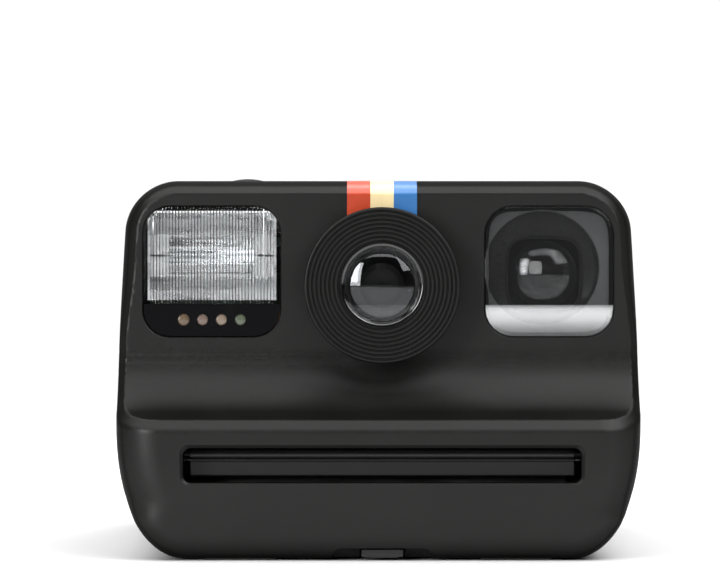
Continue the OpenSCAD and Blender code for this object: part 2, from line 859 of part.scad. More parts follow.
// Charging socket in the left side
module usb_socket() {
  color("#b4b7bb") difference() {
    block(-half_w + 0.9, -half_w + 6.6, socket_y - 3.9, socket_y + 3.9, socket_z - 1.5, socket_z + 1.5);
    block(-half_w, -half_w + 5.6, socket_y - 3.5, socket_y + 3.5, socket_z - 1.1, socket_z + 1.1);
  }
  color("#1b1b1c") block(-half_w + 2, -half_w + 5.7, socket_y - 2.4, socket_y + 2.4, socket_z - 0.3, socket_z + 0.3);
}

module battery() {
  color("#3c4a58") block(26.8, 38.2, -18, 22, 17, 33.2);
}

// Film chamber: open below, a picture window above, a slit in front
module film_frame() {
  color("#242424") difference() {
    union() {
      block(-frame_x, frame_x, chamber_front - chamber_wall, chamber_back + chamber_wall, frame_bottom, frame_top);
      for (y = [12, 24]) {
        rod_z(-27, y, frame_top - 0.5, frame_top + 2.6, 0.8);
      }
    }
    block(-chamber_x, chamber_x, chamber_front, chamber_back, frame_bottom - 1, frame_top - 1.5);
    block(lens_x - 23.5, lens_x + 23.5, cone_front, 25.5, frame_top - 2, frame_top + 1);
    block(-28, 28, chamber_front - 3, chamber_front + 1, 12.9, 13.7);
    block(-28.4, -25.6, 27, 37.6, frame_top - 2, frame_top + 1);
  }
}

// Tapered light-tight box between the lens and the film
module cone(inset) {
  hull() {
    block(lens_x - 24.4 + inset, lens_x + 24.4 - inset, cone_front + inset, mirror_foot[0] - inset, frame_top, mirror_foot[1]);
    block(lens_x - 9 + inset, lens_x + 9 - inset, cone_front + inset, cone_front + 1.4 + inset, mirror_top[1] - 2, mirror_top[1]);
  }
}

module light_chamber() {
  color("#1a1a1b") difference() {
    cone(0);
    difference() {
      cone(1.2);
      block(-30, 30, cone_front - 1, cone_front + 4, mirror_top[1] - 2.2, 60);
    }
    block(lens_x - 23.2, lens_x + 23.2, cone_front + 1.2, mirror_foot[0] - 1.2, frame_top - 1, frame_top + 2);
    rod_y(lens_x, lens_z, cone_front - 1, cone_front + 3, 5);
    on_mirror() linear_extrude(6, center = true) mirror_outline(1.6);
  }
}

// Frame on the outer face of the light chamber's sloping back
mirror_mid = [(mirror_top[0] + 1.4 + mirror_foot[0]) / 2, (mirror_top[1] + mirror_foot[1]) / 2];
mirror_len = 52;
module on_mirror() {
  translate([lens_x, mirror_mid[0], mirror_mid[1]]) rotate([-mirror_tilt, 0, 0]) children();
}
mirror_tilt = atan((mirror_top[1] - mirror_foot[1]) / (mirror_foot[0] - mirror_top[0] - 1.4));

module mirror_outline(inset) {
  h = mirror_len / 2 - inset;
  polygon([[inset - 8.4, -h], [8.4 - inset, -h], [21.4 - inset, h], [inset - 21.4, h]]);
}

module mirror() {
  color("#cfd4d8") on_mirror() translate([0, 0, 0.05]) linear_extrude(1.2) mirror_outline(0);
}

// Toothed outline with slim teeth that run with backlash
tooth_relief = 0.13;
module gear_shape(n) {
  rp = gear_m * n / 2;
  half = 90 / n - tooth_relief / rp * 180 / PI;
  tip = rp + 0.36;
  root = rp - 0.5;
  polygon([for (i = [0 : n - 1], k = [0 : 3])
    let (a = 360 * i / n + [-1.4, -0.55, 0.55, 1.4][k] * half)
    let (r = k == 0 || k == 3 ? root : tip)
    [r * cos(a), r * sin(a)]
  ]);
}

// A gear on an axis along X; turn is its rest angle about X
module gear_x(y, z, x0, x1, n, turn, bore) {
  difference() {
    translate([x0, y, z]) rotate([turn, 0, 0]) rotate([90, 0, 90]) linear_extrude(x1 - x0) gear_shape(n);
    rod_x(y, z, x0 - 1, x1 + 1, bore);
  }
}

inner_gear = [-frame_x - 4, -frame_x - 2.6];
outer_gear = [-frame_x - 6, -frame_x - 4.8];
module roller(z, left_end) {
  color("#5a5a5c") union() {
    rod_x(roller_y, z, -30, 30, roller_r);
    rod_x(roller_y, z, left_end, plate_x + plate_t + 0.6, shaft_r);
  }
}

module roller_upper() {
  roller(upper_z, inner_gear[0] - 0.2);
}

module roller_lower() {
  roller(lower_z, inner_gear[0] - 0.2);
}

// Rest angles put a tooth of one gear into a gap of the next
turn_rollers = 90;
turn_transfer = 225 + 180 / transfer_teeth - (turn_rollers - 45) * roller_teeth / transfer_teeth;
turn_pinion = 225 + 180 / pinion_teeth + 45 * reduction_teeth / pinion_teeth;
module roller_gear_upper() {
  color("#d8d4c6") gear_x(roller_y, upper_z, inner_gear[0], inner_gear[1], roller_teeth, turn_rollers, shaft_r);
}

module roller_gear_lower() {
  color("#d8d4c6") gear_x(roller_y, lower_z, inner_gear[0], inner_gear[1], roller_teeth, turn_rollers, shaft_r);
}

module reduction_gear() {
  color("#e2ded0") union() {
    gear_x(reduction_y, reduction_z, inner_gear[0], inner_gear[1], transfer_teeth, turn_transfer, 0.95);
    gear_x(reduction_y, reduction_z, outer_gear[0], outer_gear[1], reduction_teeth, 0, 0.95);
    difference() {
      rod_x(reduction_y, reduction_z, outer_gear[1] - 0.1, inner_gear[0] + 0.1, 1.9);
      rod_x(reduction_y, reduction_z, outer_gear[0], inner_gear[1], 0.95);
    }
  }
}

module motor_pinion() {
  color("#c9a24b") gear_x(motor_y, motor_z, outer_gear[0], outer_gear[1], pinion_teeth, turn_pinion, motor_shaft_r);
}

module motor_shaft() {
  color("#a5a8ad") rod_x(motor_y, motor_z, outer_gear[0] - 0.3, -frame_x + 3, motor_shaft_r);
}

module drive_motor() {
  color("#b9bcc0") difference() {
    union() {
      rod_x(motor_y, motor_z, -frame_x - 0.45, -frame_x + 21, motor_r);
      rod_x(motor_y, motor_z, -frame_x + 20.9, -frame_x + 22.4, 2);
    }
    rod_x(motor_y, motor_z, -frame_x - 1, -frame_x + 3.5, motor_shaft_r + 0.05);
  }
}

// Steel side plates joined by a cross bar
module roller_frame() {
  color("#9a9da1") union() {
    difference() {
      plate_x(-plate_x - plate_t, -plate_x) polygon([
        [roller_y - 4.5, 7], [roller_y + 4.4, 7], [roller_y + 4.4, 17], [motor_y + 5.6, 20],
        [motor_y + 5.6, 31.8], [motor_y - 5.4, 31.8], [roller_y - 1.5, 24], [roller_y - 4.5, 20]
      ]);
      rod_x(roller_y, upper_z, -plate_x - 3, 0, shaft_r + 0.05);
      rod_x(roller_y, lower_z, -plate_x - 3, 0, shaft_r + 0.05);
      rod_x(motor_y, motor_z, -plate_x - 3, 0, 1.3);
    }
    rod_x(reduction_y, reduction_z, outer_gear[0] - 0.5, -plate_x, 0.9);
    difference() {
      plate_x(plate_x, plate_x + plate_t) polygon([
        [roller_y - 4.5, 7], [roller_y + 4.4, 7], [roller_y + 4.4, 20], [roller_y - 4.5, 20]
      ]);
      rod_x(roller_y, upper_z, 0, plate_x + 3, shaft_r + 0.05);
      rod_x(roller_y, lower_z, 0, plate_x + 3, shaft_r + 0.05);
    }
    block(-plate_x - 0.1, plate_x + 0.1, roller_y + 1.2, roller_y + 4.4, 20 - 0.1, 21);
    block(-frame_x - 0.6, frame_x + 0.6, roller_y + 3.3, roller_y + 4.4, 15.4, 20);
  }
}

// Arm whose claw pushes the exposed sheet towards the rollers
module pick_arm() {
  color("#b9bcc0") difference() {
    union() {
      block(-28.6, -25.3, 6, 37, frame_top + 0.35, frame_top + 1.15);
      block(-27.7, -26.3, 35.8, 37, frame_top - 2.2, frame_top + 1.15);
    }
    for (y = [12, 24]) {
      block(-28.15, -25.85, y - 1.15, y + 7.2, frame_top, frame_top + 2);
    }
  }
}

// Dust flap that hangs in the exit slot
module exit_flap() {
  color("#1f1f1f") difference() {
    union() {
      rod_x(flap_y, flap_z, lens_x - flap_w / 2, lens_x + flap_w / 2, flap_r);
      block(lens_x - flap_w / 2, lens_x + flap_w / 2, flap_y - 0.4, flap_y + 0.5, 13.3, flap_z);
    }
    rod_x(flap_y, flap_z, -40, 40, 0.45);
  }
}

module exit_flap_pin() {
  color("#a5a8ad") union() {
    rod_x(flap_y, flap_z, lens_x - flap_w / 2 - 2.2, lens_x + flap_w / 2 + 2.2, 0.4);
    for (side = [-1, 1]) {
      x = lens_x + side * (flap_w / 2 + 1.6);
      block(x - 0.5, x + 0.5, slot_back + 0.02, flap_y + 0.8, flap_z - 0.9, flap_z + 2.2);
    }
  }
}

// Foam strips round the film chamber's rim
module light_seals() {
  color("#3a3a3a") difference() {
    block(-frame_x, frame_x, chamber_front - chamber_wall, chamber_back + chamber_wall, frame_bottom - 0.4, frame_bottom);
    block(-chamber_x, chamber_x, chamber_front, chamber_back, frame_bottom - 1, frame_bottom + 1);
  }
}

// Four thin rubber pads under the shells
module base_pads() {
  color("black") for (x = [-pad_x, pad_x], y = [pad_front, pad_back])
    translate([x, y, 0]) linear_extrude(pad_h) round_rect(pad_w, pad_d, 0.9, 0.9);
}

front_cover();
body_shell();
film_door();
door_hinge_pin();
door_latch();
pack_springs();
accent_stripe();
lens_ring();
lens_rim();
front_lens();
lens_barrel();
rear_lens();
shutter_plate();
aperture_lever();
shutter_blade_a();
shutter_blade_b();
shutter_solenoid();
flash_window();
sensor_panel();
sensor_lenses();
flash_reflector();
flash_tube();
flash_board();
flash_capacitor();
finder_window();
finder_objective();
finder_lens();
finder_tunnel();
eyepiece_lens();
eyepiece_bezel();
shutter_button();
shutter_button_spring();
power_button();
flash_button();
button_switches();
top_board();
main_board();
counter_display();
counter_window();
usb_socket();
battery();
film_frame();
light_chamber();
mirror();
roller_upper();
roller_lower();
roller_frame();
roller_gear_upper();
roller_gear_lower();
reduction_gear();
drive_motor();
motor_shaft();
motor_pinion();
pick_arm();
exit_flap();
exit_flap_pin();
strap_bars();
case_screws();
light_seals();
base_pads();
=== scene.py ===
import json
import math

import bmesh
import bpy
import numpy as np
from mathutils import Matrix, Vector


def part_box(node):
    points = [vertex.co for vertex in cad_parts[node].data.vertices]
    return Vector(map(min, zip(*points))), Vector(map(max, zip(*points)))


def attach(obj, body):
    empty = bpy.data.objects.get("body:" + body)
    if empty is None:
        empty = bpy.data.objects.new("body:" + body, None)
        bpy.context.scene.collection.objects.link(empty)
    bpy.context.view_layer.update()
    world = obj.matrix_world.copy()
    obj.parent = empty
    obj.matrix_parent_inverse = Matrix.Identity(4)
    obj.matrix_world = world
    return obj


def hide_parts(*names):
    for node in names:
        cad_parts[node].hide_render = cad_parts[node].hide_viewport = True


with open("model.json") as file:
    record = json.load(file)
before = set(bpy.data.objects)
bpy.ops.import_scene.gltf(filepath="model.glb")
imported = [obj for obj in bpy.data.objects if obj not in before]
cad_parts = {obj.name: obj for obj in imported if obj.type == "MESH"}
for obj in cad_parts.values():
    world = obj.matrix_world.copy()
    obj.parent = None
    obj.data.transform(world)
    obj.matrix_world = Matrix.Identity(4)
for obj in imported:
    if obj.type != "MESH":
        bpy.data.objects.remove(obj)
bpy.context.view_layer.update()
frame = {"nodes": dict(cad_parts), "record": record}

MM = 0.001
ROOT = "camera_body"


def box_mm(node):
    """Lowest and highest corners of a CAD node, in millimetres."""
    low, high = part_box(node)
    return np.array(low) / MM, np.array(high) / MM


def centre_mm(node):
    low, high = box_mm(node)
    return (low + high) / 2


# --- Sizes of the casing, in millimetres ---

cover_low, cover_high = box_mm("front_cover")
shell_low, shell_high = box_mm("body_shell")
ring_low, ring_high = box_mm("lens_ring")
window_low, window_high = box_mm("flash_window")
panel_low = box_mm("sensor_panel")[0]
finder_low, finder_high = box_mm("finder_window")
stripe_low, stripe_high = box_mm("accent_stripe")

HALF_W = cover_high[0]
FRONT_Y = cover_low[1]
BACK_Y = shell_high[1]
TOP_Z = shell_high[2]
FACE_Y = window_low[1]
SEAM_Y = shell_low[1]
LENS_X, _, LENS_Z = centre_mm("lens_ring")
PAD_H = box_mm("base_pads")[1][2]

# Sizes of the smooth skin.
WALL = 1.8
LIP_BOW = 1.2
BOW_TOP = 19.0
BOW_HEIGHT = 17.0
RAMP_R = 11.8
RAMP_Z = 34.0
CREST_R = 10.0
FOOT_R = 8.0
FOOT_Z = 13.8
SLOPE = math.radians(40)
LOW_X = 12.0
LOW_Z = 22.0
LOW_POWER = 0.89
SIDE_BOW = 1.0
SIDE_Z = 24.0
BEVEL_FACE = 2.14
BEVEL_DROP = 1.22
BEVEL_TOP = 1.1
BEVEL_LIP = 1.4
EYE_X = 27.0
EYE_Z = 46.2
HUMP_BACK = 28.0
HUMP_HALF = 9.5
HUMP_R = 2.2
HUMP_FILLET = 1.2
CREASE_R = 0.08
SIDE_ROUND = 5.0
LIP_ROUND = 4.0
ROUND_RISE = 3.0
EDGE_SOFT = 0.3
EDGE_RISE = 1.3
UPPER_FROM = 33.0
UPPER_TO = 47.0
PROBE = 0.02

# --- Outlines ---


def arc(cx, cy, r, start, end, steps):
    """Points on an arc; the angles are in degrees."""
    angles = np.radians(np.linspace(start, end, steps + 1))
    return [(cx + r * math.cos(a), cy + r * math.sin(a)) for a in angles]


def rounded(w, h, r_up, r_low, steps=8):
    """Rounded rectangle centred on the origin, anticlockwise."""
    return (
        arc(w / 2 - r_up, h / 2 - r_up, r_up, 0, 90, steps)
        + arc(r_up - w / 2, h / 2 - r_up, r_up, 90, 180, steps)
        + arc(r_low - w / 2, r_low - h / 2, r_low, 180, 270, steps)
        + arc(w / 2 - r_low, r_low - h / 2, r_low, 270, 360, steps)
    )


def rear_outline():
    """The crest's centre, and the top, slope and back as Y and Z, open to the front."""
    foot_y = BACK_Y - FOOT_R
    foot = (foot_y + FOOT_R * math.sin(SLOPE), FOOT_Z + FOOT_R * math.cos(SLOPE))
    crest_z = TOP_Z - CREST_R
    rise = crest_z + CREST_R * math.cos(SLOPE) - foot[1]
    crest_y = foot[0] - rise / math.tan(SLOPE) - CREST_R * math.sin(SLOPE)
    slope = math.degrees(SLOPE)
    return (crest_y, crest_z), (
        [(-120, -60), (BACK_Y, -60)]
        + arc(foot_y, FOOT_Z, FOOT_R, 0, 90 - slope, 20)
        + arc(crest_y, crest_z, CREST_R, 90 - slope, 90, 20)
        + [(-120, TOP_Z)]
    )


def front_outline():
    """The ramp and the upper face as Y and Z, open to the rear and below."""
    curve = arc(FACE_Y - RAMP_R, RAMP_Z, RAMP_R, -90, 0, 150)
    return [(-200, -60), (-200, RAMP_Z - RAMP_R)] + curve + [(FACE_Y, 130), (130, 130), (130, -60)]


def low_corner(t):
    """A point on the soft lower corner; t runs from 0 below to 1 at the side."""
    a = math.radians(90 * (1 - t))
    x = HALF_W - LOW_X + LOW_X * math.cos(a) ** LOW_POWER
    return x, LOW_Z - LOW_Z * math.sin(a) ** LOW_POWER


def side_half_width(z):
    """The sides lean in above the lip."""
    return HALF_W - SIDE_BOW * max(0.0, (z - SIDE_Z) / 28.7) ** 1.9


def casing_outline():
    """The casing seen from the front as X and Z, open above."""
    right = [low_corner(t) for t in np.linspace(0, 1, 40)]
    right += [(side_half_width(z), z) for z in np.linspace(SIDE_Z, 80, 29)]
    return right + [(-x, z) for x, z in reversed(right)]


def hump_outline():
    """The eyepiece hump as Y and Z, open to the casing."""
    corner = arc(HUMP_BACK - 4, 53.5, 4, 0, 70, 10)
    return [(2, 36), (HUMP_BACK - 3, 36), (HUMP_BACK, 39)] + corner + [(2, 59.5)]


# --- Distance fields ---


def outline_distance(outline, u, v):
    """Signed distance from points to a closed outline; negative inside."""
    shape = np.broadcast(u, v).shape
    near = np.full(shape, 1e18)
    inside = np.zeros(shape, bool)
    for (ax, ay), (bx, by) in zip(outline, outline[1:] + outline[:1]):
        ex, ey = bx - ax, by - ay
        if ex * ex + ey * ey < 1e-12:
            continue
        wx, wy = u - ax, v - ay
        t = np.clip((wx * ex + wy * ey) / (ex * ex + ey * ey), 0, 1)
        near = np.minimum(near, (wx - ex * t) ** 2 + (wy - ey * t) ** 2)
        if ay != by:
            crosses = (v >= min(ay, by)) & (v < max(ay, by))
            inside ^= crosses & (u < ax + wy * ex / ey)
    return np.where(inside, -1, 1) * np.sqrt(near)


def round_and(a, b, r):
    """Both shapes, with the edge between them rounded to radius r."""
    far = np.hypot(np.maximum(a + r, 0), np.maximum(b + r, 0))
    return np.minimum(np.maximum(a + r, b + r), 0) + far - r


def soft_or(a, b, k):
    """Either shape, with a small fillet between them."""
    h = np.clip(0.5 + 0.5 * (b - a) / k, 0, 1)
    return b + (a - b) * h - k * h * (1 - h)


def ease(x, low, high):
    """Rises smoothly from 0 at low to 1 at high."""
    t = np.clip((x - low) / (high - low), 0, 1)
    return t * t * (3 - 2 * t)


CREST, REAR = rear_outline()
FRONT = front_outline()
CASING = casing_outline()
HUMP = hump_outline()


def casing_field(x, y, z):
    """Signed distance to the casing's surface, for points or for a grid's three axes."""
    rear = outline_distance(REAR, y, z)
    front = outline_distance(FRONT, y, z)
    casing = outline_distance(CASING, x, z)
    hump = outline_distance(HUMP, y, z)
    hull = round_and(rear, casing, SIDE_ROUND + ROUND_RISE * ease(z, 4, 16))
    bow = LIP_BOW * np.clip((BOW_TOP - z) / BOW_HEIGHT, 0, 1.2) ** 2
    hull = round_and(FRONT_Y + bow - y, hull, LIP_ROUND + ROUND_RISE * ease(z, 5, 10))
    upper = ease(z, UPPER_FROM, UPPER_TO)
    inward = BEVEL_LIP + (BEVEL_TOP - BEVEL_LIP) * upper
    reach = BEVEL_LIP * BEVEL_DROP + (BEVEL_TOP * BEVEL_FACE - BEVEL_LIP * BEVEL_DROP) * upper
    bevel = (BEVEL_DROP * front + inward * hull + reach) / np.hypot(BEVEL_DROP, inward)
    body = round_and(front, round_and(bevel, hull, EDGE_SOFT + EDGE_RISE * upper), CREASE_R)
    body = np.maximum(body, PAD_H - z)
    block = round_and(hump, np.abs(x - EYE_X) - HUMP_HALF, HUMP_R)
    return soft_or(body, block, HUMP_FILLET)


def casing_distance(points):
    return casing_field(*points.T)


def grid_distance(xs, ys, zs):
    return casing_field(xs[:, None, None], ys[None, :, None], zs[None, None, :])


# --- From a field to a mesh ---


def surface_nets(xs, ys, zs, field):
    """One vertex in each grid cell that the surface crosses, joined by quads."""
    inside = field < 0
    corners = [(i, j, k) for i in (0, 1) for j in (0, 1) for k in (0, 1)]
    size = [n - 1 for n in field.shape]

    def at(a, c):
        return a[c[0] : c[0] + size[0], c[1] : c[1] + size[1], c[2] : c[2] + size[2]]

    count = sum(at(inside, c).astype(np.int8) for c in corners)
    cells = np.argwhere((count > 0) & (count < 8))
    number = np.full(size, -1, np.int64)
    number[tuple(cells.T)] = np.arange(len(cells))
    axes = (xs, ys, zs)
    total = np.zeros((len(cells), 3))
    hits = np.zeros(len(cells))
    for c in corners:
        for axis in range(3):
            if c[axis]:
                continue
            other = list(c)
            other[axis] = 1
            a = cells + c
            b = cells + other
            fa = field[tuple(a.T)]
            fb = field[tuple(b.T)]
            cross = (fa < 0) != (fb < 0)
            t = np.where(cross, fa / np.where(cross, fa - fb, 1), 0)
            pa = np.stack([axes[i][a[:, i]] for i in range(3)], 1)
            pb = np.stack([axes[i][b[:, i]] for i in range(3)], 1)
            total += np.where(cross[:, None], pa + (pb - pa) * t[:, None], 0)
            hits += cross
    verts = total / hits[:, None]
    quads = []
    for axis in range(3):
        u, v = (axis + 1) % 3, (axis + 2) % 3
        edges = np.argwhere(np.diff(inside, axis=axis))
        keep = (edges[:, u] > 0) & (edges[:, v] > 0)
        keep &= (edges[:, u] < size[u]) & (edges[:, v] < size[v])
        edges = edges[keep]
        step_u = np.eye(3, dtype=int)[u]
        step_v = np.eye(3, dtype=int)[v]
        ring = [edges - step_u - step_v, edges - step_v, edges, edges - step_u]
        quad = np.stack([number[tuple(r.T)] for r in ring], 1)
        starts_inside = inside[tuple(edges.T)]
        quad = np.where(starts_inside[:, None], quad, quad[:, ::-1])
        quads.append(quad)
    return verts, np.concatenate(quads)


def settle(verts, offset, rounds=3):
    """Moves the vertices onto the surface where the field equals offset."""
    for _ in range(rounds):
        d = casing_distance(verts)
        grad = np.stack([(casing_distance(verts + PROBE * e) - d) / PROBE for e in np.eye(3)], 1)
        length = np.maximum((grad**2).sum(1), 0.25)
        step = np.clip((d - offset) / length, -0.5, 0.5)
        verts = verts - grad * step[:, None]
    return verts


def spans(*stops):
    """Grid lines from (start, spacing) pairs; the last stop is the end."""
    lines = []
    for (start, gap), nxt in zip(stops[:-1], stops[1:]):
        end = nxt[0]
        steps = max(1, round((end - start) / gap))
        lines += list(np.linspace(start, end, steps, endpoint=False))
    return np.array(lines + [stops[-1][0]])


def to_mesh(name, verts, faces):
    """A mesh object in metres from points in millimetres."""
    mesh = bpy.data.meshes.new(name)
    mesh.from_pydata((np.asarray(verts) * MM).tolist(), [], [list(map(int, f)) for f in faces])
    mesh.validate()
    obj = bpy.data.objects.new(name, mesh)
    bpy.context.scene.collection.objects.link(obj)
    return obj


def closed_mesh(name, verts, faces, merge=False):
    """A closed solid with its faces turned outwards."""
    obj = to_mesh(name, verts, faces)
    bm = bmesh.new()
    bm.from_mesh(obj.data)
    if merge:
        bmesh.ops.remove_doubles(bm, verts=bm.verts, dist=1e-7)
    bmesh.ops.recalc_face_normals(bm, faces=bm.faces)
    bm.to_mesh(obj.data)
    bm.free()
    return obj


def apply_modifiers(obj):
    graph = bpy.context.evaluated_depsgraph_get()
    mesh = bpy.data.meshes.new_from_object(obj.evaluated_get(graph))
    obj.modifiers.clear()
    old = obj.data
    obj.data = mesh
    bpy.data.meshes.remove(old)


def boolean(obj, tool, operation="DIFFERENCE", keep_tool=False):
    mod = obj.modifiers.new("cut", "BOOLEAN")
    mod.operation = operation
    mod.solver = "MANIFOLD"
    mod.object = tool
    apply_modifiers(obj)
    if not keep_tool:
        bpy.data.objects.remove(tool)


def flatten(obj, angle=0.15):
    """Joins faces that lie in one plane."""
    mod = obj.modifiers.new("flat", "DECIMATE")
    mod.decimate_type = "DISSOLVE"
    mod.angle_limit = math.radians(angle)
    apply_modifiers(obj)


def outer_solid():
    """The casing's outside, on a grid that is fine where the surface turns."""
    xs = spans((-42.8, 0.5), (-29, 2.6), (15, 0.8), (29, 0.5), (42.8, 0))
    ys = spans((-53.3, 0.4), (-35, 1.3), (-2, 1.0), (44, 0.8), (53.3, 0))
    zs = spans((-0.8, 0.45), (6, 0.8), (19, 0.45), (36, 0.8), (49, 0.45), (61.5, 0))
    verts, quads = surface_nets(xs, ys, zs, grid_distance(xs, ys, zs))
    return to_mesh("outer", settle(verts, 0), quads)


def inner_solid():
    """The casing's inside, one wall thickness in."""
    xs = spans((-42, 1.6), (42, 0))
    ys = spans((-52, 1.6), (52, 0))
    zs = spans((0.4, 1.6), (60, 0))
    verts, quads = surface_nets(xs, ys, zs, grid_distance(xs, ys, zs) + WALL)
    return to_mesh("inner", settle(verts, -WALL), quads)


# --- Solids made from outlines ---


def ring_faces(n, pairs):
    """The faces that join pairs of rings with n points each."""
    faces = []
    for p, q in pairs:
        for i in range(n):
            j = (i + 1) % n
            faces.append((p * n + i, p * n + j, q * n + j, q * n + i))
    return faces


def loft(name, rings):
    """A closed solid through rings of points, with flat ends."""
    n = len(rings[0])
    verts = [p for ring in rings for p in ring]
    faces = ring_faces(n, [(r, r + 1) for r in range(len(rings) - 1)])
    faces.append(tuple(range(n))[::-1])
    faces.append(tuple((len(rings) - 1) * n + i for i in range(n)))
    return closed_mesh(name, verts, faces)


def grown(outline, by):
    """An outline opened out by a distance on every side."""
    pts = np.array(outline)
    mid = (pts.max(0) + pts.min(0)) / 2
    half = (pts.max(0) - pts.min(0)) / 2
    return mid + (pts - mid) * (1 + by / half)


AXES = {"X": (1, 2, 0), "Y": (0, 2, 1), "Z": (0, 1, 2)}


def prism(name, axis, outline, start, end, rim=0.0, at_start=True):
    """An outline carried along an axis, opened out by a small chamfer at one end."""
    u, v, w = AXES[axis]

    def ring(station, grow):
        out = np.zeros((len(outline), 3))
        out[:, (u, v)] = grown(outline, grow)
        out[:, w] = station
        return out.tolist()

    stations = [(start, 0), (end, 0)]
    if rim and at_start:
        stations = [(start, 3 * rim), (start + 2 * rim, rim), (start + 3 * rim, 0), (end, 0)]
    elif rim:
        stations = [(start, 0), (end - 3 * rim, 0), (end - 2 * rim, rim), (end, 3 * rim)]
    return loft(name, [ring(station, grow) for station, grow in stations])


def placed(outline, cx, cz):
    """An outline moved to a centre."""
    return [(x + cx, z + cz) for x, z in outline]


def block(name, low, high):
    x0, y0, z0 = low
    x1, y1, z1 = high
    return prism(name, "Y", [(x0, z0), (x1, z0), (x1, z1), (x0, z1)], y0, y1)


def lathe(name, profile, centre, axis, steps=160, closed=False):
    """Turns a profile of (radius, station) pairs about an axis through centre."""
    verts, faces = [], []
    axis_at = {"X": (0, 1, 2), "Y": (1, 2, 0), "Z": (2, 0, 1)}[axis]
    n = len(profile)
    for s in range(steps):
        a = 2 * math.pi * s / steps
        for r, h in profile:
            p = [0.0, 0.0, 0.0]
            p[axis_at[0]] = h
            p[axis_at[1]] = r * math.cos(a)
            p[axis_at[2]] = r * math.sin(a)
            verts.append([p[i] + centre[i] for i in range(3)])
    last = n if closed else n - 1
    for s in range(steps):
        t = (s + 1) % steps
        for i in range(last):
            j = (i + 1) % n
            faces.append((s * n + i, t * n + i, t * n + j, s * n + j))
    return closed_mesh(name, verts, faces, merge=True)


def smooth(obj, angle=30):
    """Smooth shading, with edges sharper than the angle kept crisp."""
    mesh = obj.data
    mesh.shade_smooth()
    bm = bmesh.new()
    bm.from_mesh(mesh)
    limit = math.radians(angle)
    for e in bm.edges:
        e.smooth = len(e.link_faces) == 2 and e.calc_face_angle(0) < limit
    bm.to_mesh(mesh)
    bm.free()


def skin_normals(obj, agreement=14):
    """Shades the casing by its field's gradient, not by its facets."""
    mesh = obj.data
    verts = np.empty(len(mesh.vertices) * 3)
    mesh.vertices.foreach_get("co", verts)
    verts = verts.reshape(-1, 3) / MM
    steps = PROBE * np.eye(3)
    grad = np.stack([casing_distance(verts + e) - casing_distance(verts - e) for e in steps], 1)
    grad /= np.maximum(np.linalg.norm(grad, axis=1), 1e-9)[:, None]
    on_skin = np.abs(casing_distance(verts)) < 0.02
    corner = np.empty(len(mesh.loops), np.int32)
    mesh.loops.foreach_get("vertex_index", corner)
    kept = np.empty(len(mesh.loops) * 3, np.float32)
    mesh.corner_normals.foreach_get("vector", kept)
    kept = kept.reshape(-1, 3)
    flat = np.empty(len(mesh.polygons) * 3, np.float32)
    mesh.polygons.foreach_get("normal", flat)
    sides = np.empty(len(mesh.polygons), np.int32)
    mesh.polygons.foreach_get("loop_total", sides)
    flat = np.repeat(flat.reshape(-1, 3), sides, axis=0)
    agrees = (flat * grad[corner]).sum(1) > math.cos(math.radians(agreement))
    use = on_skin[corner] & agrees
    mesh.normals_split_custom_set(np.where(use[:, None], grad[corner], kept).tolist())


def dress(obj, slot, *nodes, look=None, body=ROOT, angle=None):
    """Gives a new piece its shading, material and body, and hides what it replaces."""
    if angle:
        smooth(obj, angle)
    obj.data.materials.clear()
    obj.data.materials.append(MATERIALS[look or slot])
    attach(obj, body)
    if nodes:
        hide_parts(*nodes)
    return obj


# --- Materials ---


def new_material(name):
    mat = bpy.data.materials.new(name)
    mat.use_nodes = True
    return mat, mat.node_tree, mat.node_tree.nodes["Principled BSDF"]


def put(node, **values):
    """Sets sockets by name; an underscore stands for a space."""
    for name, value in values.items():
        node.inputs[name.replace("_", " ")].default_value = value


def noise(tree, coords, scale, detail=3.0, rough=0.5):
    tex = tree.nodes.new("ShaderNodeTexNoise")
    put(tex, Scale=scale, Detail=detail, Roughness=rough)
    tree.links.new(coords, tex.inputs["Vector"])
    return tex.outputs["Fac"]


def remap(tree, source, low, high, start=0.3, end=0.7):
    """Maps a value's range to another."""
    node = tree.nodes.new("ShaderNodeMapRange")
    put(node, From_Min=start, From_Max=end, To_Min=low, To_Max=high)
    tree.links.new(source, node.inputs["Value"])
    return node.outputs["Result"]


def vary_colour(tree, bsdf, source, first, second):
    """Mixes two colours by a noise."""
    mix = tree.nodes.new("ShaderNodeMix")
    mix.data_type = "RGBA"
    put(mix, A=(*first, 1), B=(*second, 1))
    tree.links.new(remap(tree, source, 0, 1), mix.inputs["Factor"])
    tree.links.new(mix.outputs["Result"], bsdf.inputs["Base Color"])


def vary_roughness(tree, bsdf, source, low, high):
    tree.links.new(remap(tree, source, low, high), bsdf.inputs["Roughness"])


def add_bump(tree, bsdf, height, strength, depth):
    bump = tree.nodes.new("ShaderNodeBump")
    put(bump, Strength=strength, Distance=depth)
    tree.links.new(height, bump.inputs["Height"])
    tree.links.new(bump.outputs["Normal"], bsdf.inputs["Normal"])


def object_coords(tree):
    return tree.nodes.new("ShaderNodeTexCoord").outputs["Object"]


def slant(tree):
    """0 where the surface faces the eye and 1 at its edge."""
    node = tree.nodes.new("ShaderNodeLayerWeight")
    put(node, Blend=0.5)
    return node.outputs["Facing"]


